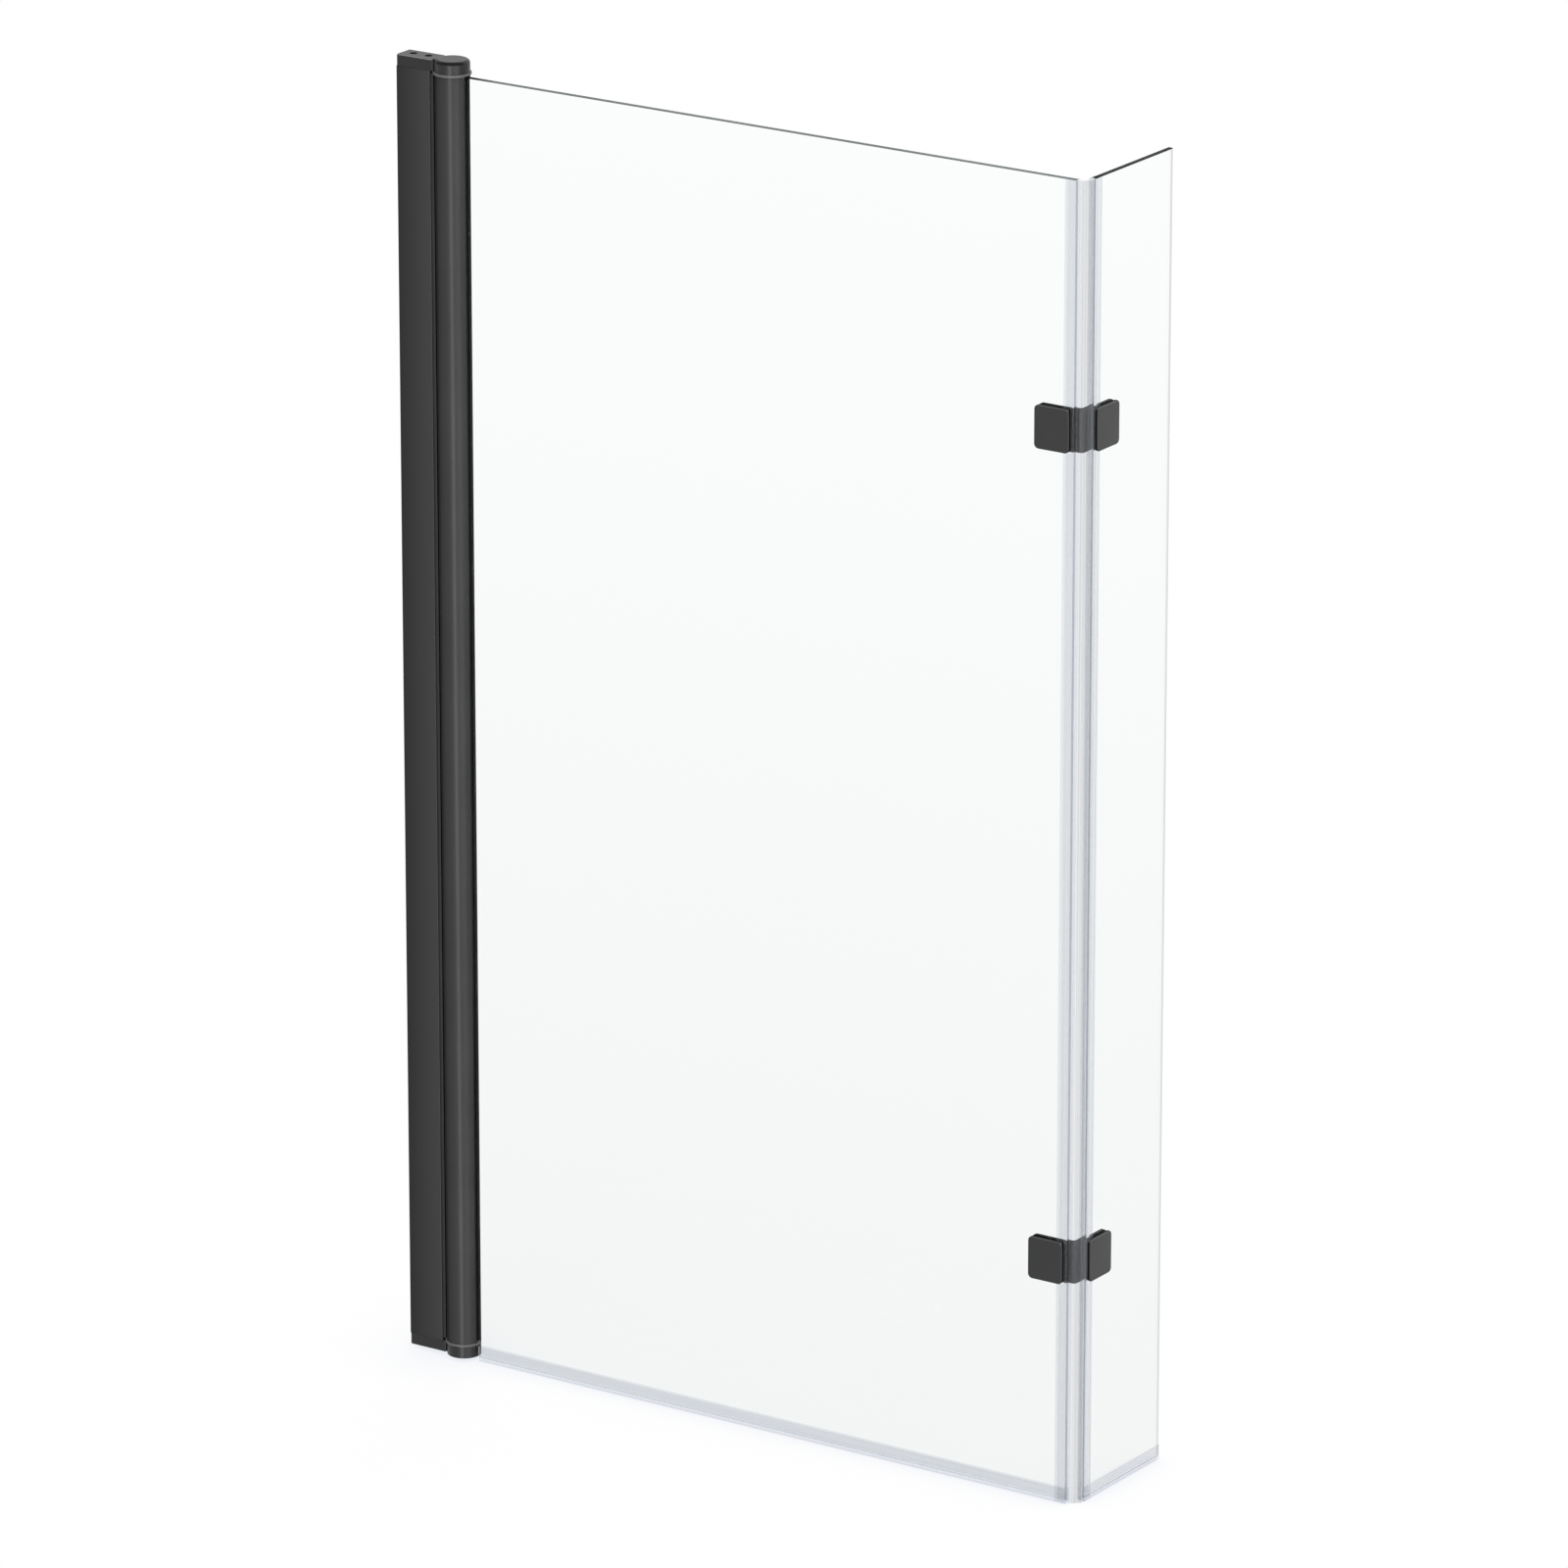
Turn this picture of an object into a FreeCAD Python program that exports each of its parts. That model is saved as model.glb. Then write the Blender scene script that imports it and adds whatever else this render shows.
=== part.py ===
"""L-shaped bath screen on a wall hinge, with each physical piece as a solid of its own.

Millimetres. X runs from the wall along the main panel, Y towards the return panel and Z up.
The wall is at X = 0 and the middle of the main glass at Y = 0. Heights count from the underside of
the seals, and each finished piece is lowered so that Z = 0 is the middle of the wall fixings.
"""

import os

import FreeCAD
import Part

Vector = FreeCAD.Vector
X_AXIS = Vector(1, 0, 0)
Y_AXIS = Vector(0, 1, 0)
Z_AXIS = Vector(0, 0, 1)
ORIGIN = Vector(0, 0, 0)
FULL_TURN = 360.0
QUARTER_TURN = 90.0
TOLERANCE = 1e-6

# Glass panels
SCREEN_HEIGHT = 1400.0       # underside of the bottom seals to the top of the hinge tube
GLASS_T = 6.0
GLASS_LIFT = 4.0             # bottom edges of the glass above the underside of the seals
GLASS_DROP = 0.8             # top edges of the glass below the top of the hinge tube
GLASS_ARRIS = 0.4
MAIN_REACH = 819.0           # wall to the free end of the main glass
RETURN_GAP = 6.0             # end of the main glass to the inner face of the return glass
RETURN_SETBACK = 10.0        # inner face of the main glass to the near end of the return glass
RETURN_LENGTH = 144.5

# Wall channel
CHANNEL_DEPTH = 41.3
CHANNEL_WIDTH = 23.0
CHANNEL_WALL = 1.8
CHANNEL_BASE = 2.4
CHANNEL_EDGE_R = 0.6
SEALANT_GROOVE_W = 3.0
SEALANT_GROOVE_T = 0.6
SEALANT_GROOVE_Y = 6.5
WALL_HOLE_R = 2.75
WALL_HOLE_INSET = 100.0      # outer wall holes from the channel's ends

# Hinge tube, pins and bearings
HINGE_X = 62.0
TUBE_R = 18.5
TUBE_WALL = 1.8
TUBE_LIFT = 20.0             # lower end of the tube above the underside of the seals
TUBE_WEB_T = 1.6
END_PLAY = 0.1
WASHER_STAND = 1.5           # washer beyond the tube
WASHER_T = 2.4
WASHER_EDGE = 0.4
WASHER_BORE_CLEARANCE = 0.2
PIN_R = 4.0
PIN_SEAT = 8.0               # length of pin held in the cap
PIN_REACH = 22.0             # length of pin inside the tube
PIN_TIP = 0.8
PIN_RUNNING_CLEARANCE = 0.05
BUSH_WALL = 1.45
BUSH_LENGTH = 25.0
BUSH_BOSS_WALL = 1.6

# Glass pocket in the tube
POCKET_FLOOR = 8.0           # hinge axis to the edge of the glass
POCKET_WALL = 1.6
GASKET_T = 1.4
GASKET_KEY_X = 11.0          # hinge axis to the rib that holds the gasket
GASKET_KEY_W = 1.6
GASKET_KEY_T = 0.7
GASKET_LIP = 0.5             # gasket standing out of the tube
NOTCH_CLEARANCE = 1.2        # glass corner cut away around the bottom cap
NOTCH_RISE = 0.6
NOTCH_R = 3.0

# Pivot post
POST_BACK = 8.0              # wall to the back of the post
POST_SIDE_CLEARANCE = 0.15
POST_WALL = 1.6
SEAT_GAP = 1.2               # tube to the hollow seat of the post
SEAT_WALL = 1.8
PORT_X = 13.5                # wall to the first screw port
PORT_PITCH = 19.0
PORT_WALL = 1.7
PORT_WEB_T = 1.6
WIPER_GAP = 0.3
WIPER_STEM = 1.6
WIPER_NECK = 2.4             # seat to the foot of the wiper
WIPER_FOOT_W = 4.0
WIPER_FOOT_T = 1.2
WIPER_BOSS_WALL = 1.5

# End caps
TOP_CAP_H = 12.4
BOTTOM_CAP_H = 12.7
CAP_OVERHANG = 4.5           # cap block beyond the channel
CAP_CORNER_R = 1.5
CAP_EDGE_R = 1.2
CAP_JOINT = 0.35             # bevel that marks the joint between cap and channel
CAP_NECK_HALF = 9.5          # half the width of the bridge from the block to the head
CAP_HEAD_RISE = 0.8          # head standing above the block
TOP_RIM_R = 4.0
BOTTOM_RIM_R = 1.0
SPIGOT_BACK = 1.6            # channel base to the cap's spigot
SPIGOT_FRONT = 0.8           # spigot to the washer
SPIGOT_CLEARANCE = 0.2
RECESS_R = 4.0
RECESS_T = 7.0

# Screws of the hinge
CAP_SCREW_R = 1.9
CAP_SCREW_LENGTH = 21.0
POST_SCREW_R = 2.0
POST_SCREW_LENGTH = 9.0
POST_SCREW_INSET = 180.0     # outer post screws from the post's ends
PAN_HEAD_R = 3.6
PAN_HEAD_H = 2.4
PAN_HEAD_EDGE = 1.0
SCREW_HOLE_CLEARANCE = 0.2

# Seals
SEAL_T = 0.8
BOTTOM_SEAL_H = 16.3
BOTTOM_SEAL_BASE = 1.2
BOTTOM_SEAL_START = 0.2      # end of the seal from the glass corner cut
FIN_INSET = 0.5              # side of the seal to the tip of its fin
CORNER_MAIN_WING = 12.5
CORNER_RETURN_WING = 10.5
CORNER_BASE_T = 1.0
CORNER_LIP_W = 1.0
CORNER_BEVEL_Y = 6.0         # middle of the main glass to the end of the corner's bevel
CORNER_RIB_W = 0.9
CORNER_RIBS = (0.45, 0.72)   # places of the ribs along the bevel
CORNER_TOP_DROP = 0.5        # top of the corner seal below the top edges of the glass
CORNER_LIFT = 1.5            # lower end of the corner seal above the underside of the seals
CORNER_BODY_CLEARANCE = 0.5

# Glass brackets
UPPER_BRACKET_Z = 1141.1
LOWER_BRACKET_Z = 262.0
PLATE_W = 41.0
PLATE_H = 45.4
PLATE_T = 3.2
PLATE_CORNER_R = 5.0
PLATE_EDGE = 0.8
MAIN_PLATE_INSET = 4.5       # end of the main glass to the plate
RETURN_PLATE_INSET = 2.2     # near end of the return glass to the plate
PAD_T = 0.6
PAD_INSET = 0.6
GLASS_HOLE_R = 6.5
SLEEVE_CLEARANCE = 0.2
PLATE_BOSS_R = 4.6
PLATE_BOSS_SHORT = 0.4       # inner face of the glass to the end of the boss
BRACKET_SCREW_R = 2.5
BRACKET_SCREW_HOLE_CLEARANCE = 0.3
BRACKET_SCREW_GRIP = 5.5     # thread held in the boss
BRACKET_HEAD_R = 5.0
BRACKET_HEAD_SUNK = 0.3
BRACKET_BORE_SPARE = 0.8
BODY_CORNER_R = 4.0
BODY_INNER_R = 3.0

# Places worked out from the sizes above
GLASS_HALF = GLASS_T / 2
GLASS_TOP = SCREEN_HEIGHT - GLASS_DROP
CHANNEL_HALF = CHANNEL_WIDTH / 2
CHANNEL_BOTTOM = TUBE_LIFT - END_PLAY - WASHER_T
CHANNEL_TOP = SCREEN_HEIGHT + END_PLAY + WASHER_T
POST_BOTTOM = CHANNEL_BOTTOM + WASHER_T
POST_TOP = CHANNEL_TOP - WASHER_T
POST_HALF = CHANNEL_HALF - CHANNEL_WALL - POST_SIDE_CLEARANCE
MIDDLE_Z = (CHANNEL_BOTTOM + CHANNEL_TOP) / 2
WASHER_R = TUBE_R + WASHER_STAND
SEAT_R = TUBE_R + SEAT_GAP
SEAT_X = HINGE_X - SEAT_R
PORTS = (PORT_X, PORT_X + PORT_PITCH)
BUSH_R = PIN_R + PIN_RUNNING_CLEARANCE + BUSH_WALL
POCKET_HALF = GLASS_HALF + GASKET_T
GLASS_START = HINGE_X + POCKET_FLOOR
NOTCH_X = HINGE_X + WASHER_R + NOTCH_CLEARANCE
NOTCH_TOP = TUBE_LIFT + NOTCH_RISE
RETURN_INNER = MAIN_REACH + RETURN_GAP
RETURN_MIDDLE = RETURN_INNER + GLASS_HALF
RETURN_START = GLASS_HALF + RETURN_SETBACK
RETURN_END = RETURN_START + RETURN_LENGTH
SEAL_HALF = GLASS_HALF + SEAL_T
WING_HALF = SEAL_HALF + SEAL_T
PLATE_INNER = GLASS_HALF + PAD_T
PLATE_OUTER = PLATE_INNER + PLATE_T
MAIN_SCREW_X = MAIN_REACH - MAIN_PLATE_INSET - PLATE_W / 2
RETURN_SCREW_Y = RETURN_START + RETURN_PLATE_INSET + PLATE_W / 2
BRACKETS = {"upper": UPPER_BRACKET_Z, "lower": LOWER_BRACKET_Z}


def face(points):
    """A flat face with straight sides."""
    return Part.Face(Part.makePolygon(points + points[:1]))


def rect(x0, x1, y0, y1):
    """A rectangle in the XY plane."""
    return face([Vector(x0, y0), Vector(x1, y0), Vector(x1, y1), Vector(x0, y1)])


def strip(x0, x1, half):
    """A rectangle in the XY plane, centred on Y = 0."""
    return rect(x0, x1, -half, half)


def disc(x, y, radius):
    """A round face in the XY plane."""
    return Part.Face(Part.Wire(Part.Circle(Vector(x, y), Z_AXIS, radius).toShape()))


def joined(first, *others):
    """Solids fused into one, without the seams between them."""
    return first.fuse(list(others)).removeSplitter() if others else first


def prism(section, z0, z1):
    """A section in the XY plane made into a solid between two heights."""
    solid = section.extrude(Z_AXIS * (z1 - z0))
    solid.translate(Z_AXIS * z0)
    return solid


def extrusion(z0, z1, parts, holes=()):
    """A solid between two heights, from sections joined together and sections cut away."""
    solid = joined(*[prism(part, z0, z1) for part in parts])
    return solid.cut([prism(hole, z0, z1) for hole in holes]) if holes else solid


def box(x0, x1, y0, y1, z0, z1):
    """A block between limits on each axis."""
    return Part.makeBox(x1 - x0, y1 - y0, z1 - z0, Vector(x0, y0, z0))


def edges_along(shape, axis):
    """The straight edges of a shape that run along an axis."""
    lines = [edge for edge in shape.Edges if len(edge.Vertexes) == 2]
    spans = [(edge, edge.Vertexes[1].Point - edge.Vertexes[0].Point) for edge in lines]
    return [edge for edge, span in spans if span.cross(axis).Length < TOLERANCE]


def edges_at(edges, axis, value):
    """The edges that lie in the plane where the coordinate along an axis has a value."""
    return [
        edge for edge in edges
        if all(abs(vertex.Point.dot(axis) - value) < TOLERANCE for vertex in edge.Vertexes)
    ]


def turned(points, axis):
    """A solid of revolution from points given as (radius, place along the axis)."""
    side = X_AXIS if axis == Y_AXIS else Y_AXIS
    profile = face([side * radius + axis * place for radius, place in points])
    return profile.revolve(ORIGIN, axis, FULL_TURN)


def placed(shape, x, y, z):
    """A copy of a shape moved to a place."""
    copy = shape.copy()
    copy.translate(Vector(x, y, z))
    return copy


def flipped(shape):
    """The mirror image of a shape in the XY plane."""
    return shape.mirror(ORIGIN, Z_AXIS)


def on_return(shape):
    """A shape turned from the main panel's direction to the return panel's."""
    copy = shape.copy()
    copy.rotate(ORIGIN, Z_AXIS, QUARTER_TURN)
    return copy


def wall_hole_heights():
    """Heights of the three holes that take the wall screws."""
    return (CHANNEL_BOTTOM + WALL_HOLE_INSET, MIDDLE_Z, CHANNEL_TOP - WALL_HOLE_INSET)


def post_screw_heights():
    """Heights of the three screws that lock the post in the channel."""
    return (POST_BOTTOM + POST_SCREW_INSET, MIDDLE_Z, POST_TOP - POST_SCREW_INSET)


def post_screw_x():
    """Distance of the post screws from the wall, midway between the screw ports."""
    return sum(PORTS) / len(PORTS)


def wall_channel():
    """The channel fixed to the wall: a U section with sealant grooves and fixing holes."""
    holes = [strip(CHANNEL_BASE, CHANNEL_DEPTH, CHANNEL_HALF - CHANNEL_WALL)]
    for side in (-1, 1):
        middle = side * SEALANT_GROOVE_Y
        half = SEALANT_GROOVE_W / 2
        holes.append(rect(0, SEALANT_GROOVE_T, middle - half, middle + half))
    outline = strip(0, CHANNEL_DEPTH, CHANNEL_HALF)
    channel = extrusion(CHANNEL_BOTTOM, CHANNEL_TOP, [outline], holes)
    front = edges_at(edges_along(channel, Z_AXIS), X_AXIS, CHANNEL_DEPTH)
    outer = [edge for edge in front if abs(edge.Vertexes[0].Y) > CHANNEL_HALF - TOLERANCE]
    channel = channel.makeFillet(CHANNEL_EDGE_R, outer)
    for z in wall_hole_heights():
        channel = channel.cut(Part.makeCylinder(WALL_HOLE_R, CHANNEL_BASE, Vector(0, 0, z), X_AXIS))
    hole_r = POST_SCREW_R + SCREW_HOLE_CLEARANCE
    for z in post_screw_heights():
        start = Vector(post_screw_x(), CHANNEL_HALF - CHANNEL_WALL, z)
        channel = channel.cut(Part.makeCylinder(hole_r, CHANNEL_WALL, start, Y_AXIS))
    return channel


def wiper_section(tip_x):
    """The wiper's T section: a foot held in the post and a stem that ends at the given place."""
    foot_front = SEAT_X - WIPER_NECK
    foot = strip(foot_front - WIPER_FOOT_T, foot_front, WIPER_FOOT_W / 2)
    return [foot, strip(foot_front, tip_x, WIPER_STEM / 2)]


def pivot_post():
    """The post that slides in the channel: hollow, with screw ports and a round seat for the tube."""
    cavity_half = POST_HALF - POST_WALL
    outline = strip(POST_BACK, HINGE_X, POST_HALF).cut(disc(HINGE_X, 0, SEAT_R))
    cavity = strip(POST_BACK + POST_WALL, HINGE_X, cavity_half)
    cavity = cavity.cut(disc(HINGE_X, 0, SEAT_R + SEAT_WALL))
    boss_back = SEAT_X - WIPER_NECK - WIPER_FOOT_T - WIPER_BOSS_WALL
    boss_half = WIPER_FOOT_W / 2 + WIPER_BOSS_WALL
    boss = strip(boss_back, SEAT_X + SEAT_WALL, boss_half).cut(disc(HINGE_X, 0, SEAT_R))
    parts = [outline.cut(cavity), boss]
    holes = wiper_section(HINGE_X)
    for x in PORTS:
        parts.append(disc(x, 0, CAP_SCREW_R + PORT_WALL))
        parts.append(strip(x - PORT_WEB_T / 2, x + PORT_WEB_T / 2, cavity_half))
        holes.append(disc(x, 0, CAP_SCREW_R))
    post = extrusion(POST_BOTTOM, POST_TOP, parts, holes)
    for z in post_screw_heights():
        start = Vector(post_screw_x(), cavity_half, z)
        post = post.cut(Part.makeCylinder(POST_SCREW_R, POST_WALL, start, Y_AXIS))
    return post


def hinge_wiper_seal():
    """The strip that closes the gap between post and tube."""
    return extrusion(POST_BOTTOM, POST_TOP, wiper_section(HINGE_X - TUBE_R - WIPER_GAP))


def gasket_section(x_end):
    """Half of the glass pocket's filling: a strip with a rib that keys into the tube."""
    key_end = GASKET_KEY_X + GASKET_KEY_W
    return [
        rect(POCKET_FLOOR, x_end, GLASS_HALF, POCKET_HALF),
        rect(GASKET_KEY_X, key_end, POCKET_HALF, POCKET_HALF + GASKET_KEY_T),
    ]


def hinge_tube():
    """The round extrusion on the glass: a shell with a bearing boss, a web and a glass pocket."""
    shell = disc(0, 0, TUBE_R).cut(disc(0, 0, TUBE_R - TUBE_WALL))
    boss = disc(0, 0, BUSH_R + BUSH_BOSS_WALL)
    web = strip(-TUBE_R + TUBE_WALL / 2, 0, TUBE_WEB_T / 2)
    block_half = POCKET_HALF + GASKET_KEY_T + POCKET_WALL
    block = strip(POCKET_FLOOR - POCKET_WALL, TUBE_R, block_half).common(disc(0, 0, TUBE_R))
    holes = [
        disc(0, 0, BUSH_R),
        strip(POCKET_FLOOR, TUBE_R, POCKET_HALF),
        strip(GASKET_KEY_X, GASKET_KEY_X + GASKET_KEY_W, POCKET_HALF + GASKET_KEY_T),
    ]
    tube = extrusion(TUBE_LIFT, SCREEN_HEIGHT, [shell, boss, web, block], holes)
    return placed(tube, HINGE_X, 0, 0)


def glazing_gasket(side):
    """The gasket on one side of the glass in the tube."""
    mouth = (TUBE_R**2 - POCKET_HALF**2) ** 0.5
    gasket = extrusion(TUBE_LIFT, SCREEN_HEIGHT, gasket_section(mouth + GASKET_LIP))
    gasket = gasket if side > 0 else gasket.mirror(ORIGIN, Y_AXIS)
    return placed(gasket, HINGE_X, 0, 0)


def pin():
    """A pivot pin with the cap's underside at Z = 0 and its tip downwards."""
    tip = -WASHER_T - END_PLAY - PIN_REACH
    return turned(
        [(0, PIN_SEAT), (PIN_R, PIN_SEAT), (PIN_R, tip + PIN_TIP), (PIN_R - PIN_TIP, tip), (0, tip)],
        Z_AXIS,
    )


def washer():
    """A bearing washer that hangs from Z = 0."""
    ring = Part.makeCylinder(WASHER_R, WASHER_T, -Z_AXIS * WASHER_T)
    ring = ring.makeFillet(WASHER_EDGE, [edge for edge in ring.Edges if edge.isClosed()])
    bore_r = PIN_R + WASHER_BORE_CLEARANCE
    return ring.cut(Part.makeCylinder(bore_r, WASHER_T, -Z_AXIS * WASHER_T))


def bush():
    """A plain bearing for a pin, hanging from Z = 0."""
    sleeve = Part.makeCylinder(BUSH_R, BUSH_LENGTH, -Z_AXIS * BUSH_LENGTH)
    bore_r = PIN_R + PIN_RUNNING_CLEARANCE
    return sleeve.cut(Part.makeCylinder(bore_r, BUSH_LENGTH, -Z_AXIS * BUSH_LENGTH))


def cap(height, rim_r):
    """An end cap with its underside at Z = 0: block, neck, round head, spigot, recesses and pin seat."""
    block = box(0, CHANNEL_DEPTH + CAP_OVERHANG, -CHANNEL_HALF, CHANNEL_HALF, 0, height)
    block = block.makeFillet(CAP_CORNER_R, edges_along(block, Z_AXIS))
    block = block.makeFillet(CAP_EDGE_R, edges_at(block.Edges, Z_AXIS, height))
    block = block.makeChamfer(CAP_JOINT, edges_at(block.Edges, Z_AXIS, 0))
    neck = box(CHANNEL_DEPTH, HINGE_X, -CAP_NECK_HALF, CAP_NECK_HALF, 0, height)
    neck = neck.makeFillet(CAP_EDGE_R, edges_at(edges_along(neck, X_AXIS), Z_AXIS, height))
    head_top = height + CAP_HEAD_RISE
    head = Part.makeCylinder(TUBE_R, head_top, X_AXIS * HINGE_X)
    head = head.makeFillet(rim_r, edges_at(head.Edges, Z_AXIS, head_top))
    spigot_half = CHANNEL_HALF - CHANNEL_WALL - SPIGOT_CLEARANCE
    spigot_end = HINGE_X - WASHER_R - SPIGOT_FRONT
    spigot = box(CHANNEL_BASE + SPIGOT_BACK, spigot_end, -spigot_half, spigot_half, -WASHER_T, 0)
    body = joined(block, neck, head, spigot)
    body = body.cut(Part.makeCylinder(PIN_R, PIN_SEAT, X_AXIS * HINGE_X))
    hole_r = CAP_SCREW_R + SCREW_HOLE_CLEARANCE
    for x in PORTS:
        body = body.cut(Part.makeCylinder(hole_r, height + WASHER_T, Vector(x, 0, -WASHER_T)))
        body = body.cut(Part.makeCylinder(RECESS_R, RECESS_T, Vector(x, 0, height - RECESS_T)))
    return body


def pan_screw(radius, length, axis):
    """A pan-head screw with the underside of its head at the origin."""
    return turned(
        [
            (0, PAN_HEAD_H),
            (PAN_HEAD_R - PAN_HEAD_EDGE, PAN_HEAD_H),
            (PAN_HEAD_R, PAN_HEAD_H - PAN_HEAD_EDGE),
            (PAN_HEAD_R, 0),
            (radius, 0),
            (radius, -length),
            (0, -length),
        ],
        axis,
    )


def cap_screws(height):
    """The two screws of an end cap whose underside is at Z = 0."""
    screw = pan_screw(CAP_SCREW_R, CAP_SCREW_LENGTH, Z_AXIS)
    return [placed(screw, x, 0, height - RECESS_T) for x in PORTS]


def post_fixing_screws():
    """The three screws through the channel's inner side into the post."""
    screw = pan_screw(POST_SCREW_R, POST_SCREW_LENGTH, Y_AXIS)
    return [placed(screw, post_screw_x(), CHANNEL_HALF, z) for z in post_screw_heights()]


def drilled(glass, points, axis):
    """Glass with a bracket hole through each point."""
    for point in points:
        start = point - axis * GLASS_T
        glass = glass.cut(Part.makeCylinder(GLASS_HOLE_R, GLASS_T + GLASS_T, start, axis))
    return glass


def main_glass():
    """The hinged panel, with its lower corner cut away around the bottom cap."""
    outline = [
        Vector(GLASS_START, -GLASS_HALF, NOTCH_TOP),
        Vector(NOTCH_X, -GLASS_HALF, NOTCH_TOP),
        Vector(NOTCH_X, -GLASS_HALF, GLASS_LIFT),
        Vector(MAIN_REACH, -GLASS_HALF, GLASS_LIFT),
        Vector(MAIN_REACH, -GLASS_HALF, GLASS_TOP),
        Vector(GLASS_START, -GLASS_HALF, GLASS_TOP),
    ]
    glass = face(outline).extrude(Y_AXIS * GLASS_T)
    notch = edges_at(edges_at(edges_along(glass, Y_AXIS), X_AXIS, NOTCH_X), Z_AXIS, NOTCH_TOP)
    glass = glass.makeFillet(NOTCH_R, notch)
    rims = edges_at(glass.Edges, Y_AXIS, -GLASS_HALF) + edges_at(glass.Edges, Y_AXIS, GLASS_HALF)
    glass = glass.makeChamfer(GLASS_ARRIS, rims)
    return drilled(glass, [Vector(MAIN_SCREW_X, 0, z) for z in BRACKETS.values()], Y_AXIS)


def return_glass():
    """The narrow panel at right angles to the main one."""
    outer = RETURN_INNER + GLASS_T
    glass = box(RETURN_INNER, outer, RETURN_START, RETURN_END, GLASS_LIFT, GLASS_TOP)
    rims = edges_at(glass.Edges, X_AXIS, RETURN_INNER) + edges_at(glass.Edges, X_AXIS, outer)
    glass = glass.makeChamfer(GLASS_ARRIS, rims)
    points = [Vector(RETURN_MIDDLE, RETURN_SCREW_Y, z) for z in BRACKETS.values()]
    return drilled(glass, points, X_AXIS)


def bottom_seal(length):
    """A clear seal along X from the origin: a U that grips the glass, with two fins below."""
    base = GLASS_LIFT - BOTTOM_SEAL_BASE
    tip = SEAL_HALF - FIN_INSET
    half = [
        Vector(0, 0, base),
        Vector(0, SEAL_HALF - SEAL_T, base),
        Vector(0, tip - SEAL_T, 0),
        Vector(0, tip, 0),
        Vector(0, SEAL_HALF, base),
        Vector(0, SEAL_HALF, BOTTOM_SEAL_H),
        Vector(0, GLASS_HALF, BOTTOM_SEAL_H),
        Vector(0, GLASS_HALF, GLASS_LIFT),
        Vector(0, 0, GLASS_LIFT),
    ]
    side = face(half).extrude(X_AXIS * length)
    return joined(side, side.mirror(ORIGIN, Y_AXIS))


def main_bottom_seal():
    """The seal under the main glass."""
    start = NOTCH_X + BOTTOM_SEAL_START
    return placed(bottom_seal(MAIN_REACH - start), start, 0, 0)


def return_bottom_seal():
    """The seal under the return glass."""
    return placed(on_return(bottom_seal(RETURN_LENGTH)), RETURN_MIDDLE, RETURN_START, 0)


def glass_clip(wing):
    """Section of a clip on the end of a panel that runs along -X from X = 0: base, wings and lips."""
    parts = [strip(0, CORNER_BASE_T, WING_HALF)]
    for side in (-1, 1):
        parts.append(rect(-wing, CORNER_BASE_T, side * SEAL_HALF, side * WING_HALF))
        parts.append(rect(-wing, CORNER_LIP_W - wing, side * GLASS_HALF, side * WING_HALF))
    return Part.makeCompound(parts)


def corner_section():
    """Section of the corner seal: a clip on each panel, a bevelled skin between them and its ribs."""
    clip_end = MAIN_REACH + CORNER_BASE_T
    main_clip = placed(glass_clip(CORNER_MAIN_WING), MAIN_REACH, 0, 0)
    return_clip = on_return(glass_clip(CORNER_RETURN_WING).mirror(ORIGIN, X_AXIS))
    return_clip = placed(return_clip, RETURN_MIDDLE, RETURN_START, 0)
    outer = RETURN_MIDDLE + WING_HALF
    start = Vector(clip_end, -WING_HALF)
    turn = Vector(outer, CORNER_BEVEL_Y)
    run = (turn - start).normalize()
    inward = Z_AXIS.cross(run)
    skin_in = SEAL_T / abs(inward.x)
    bevel = face([
        start - X_AXIS * CORNER_BASE_T,
        start,
        turn,
        turn - X_AXIS * skin_in,
        Vector(clip_end, -WING_HALF + SEAL_T / abs(inward.y)),
        Vector(MAIN_REACH, -WING_HALF + SEAL_T / abs(inward.y)),
    ])
    side = rect(outer - SEAL_T, outer, CORNER_BEVEL_Y, RETURN_START)
    ribs = []
    for share in CORNER_RIBS:
        foot = start + (turn - start) * share + inward * (SEAL_T / 2)
        across = run * (CORNER_RIB_W / 2)
        rise = inward * (SEAL_T / 2 + CORNER_RIB_W)
        ribs.append(face([foot - across, foot + across, foot + across + rise, foot - across + rise]))
    return [*main_clip.Faces, *return_clip.Faces, bevel, side, *ribs]


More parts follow.
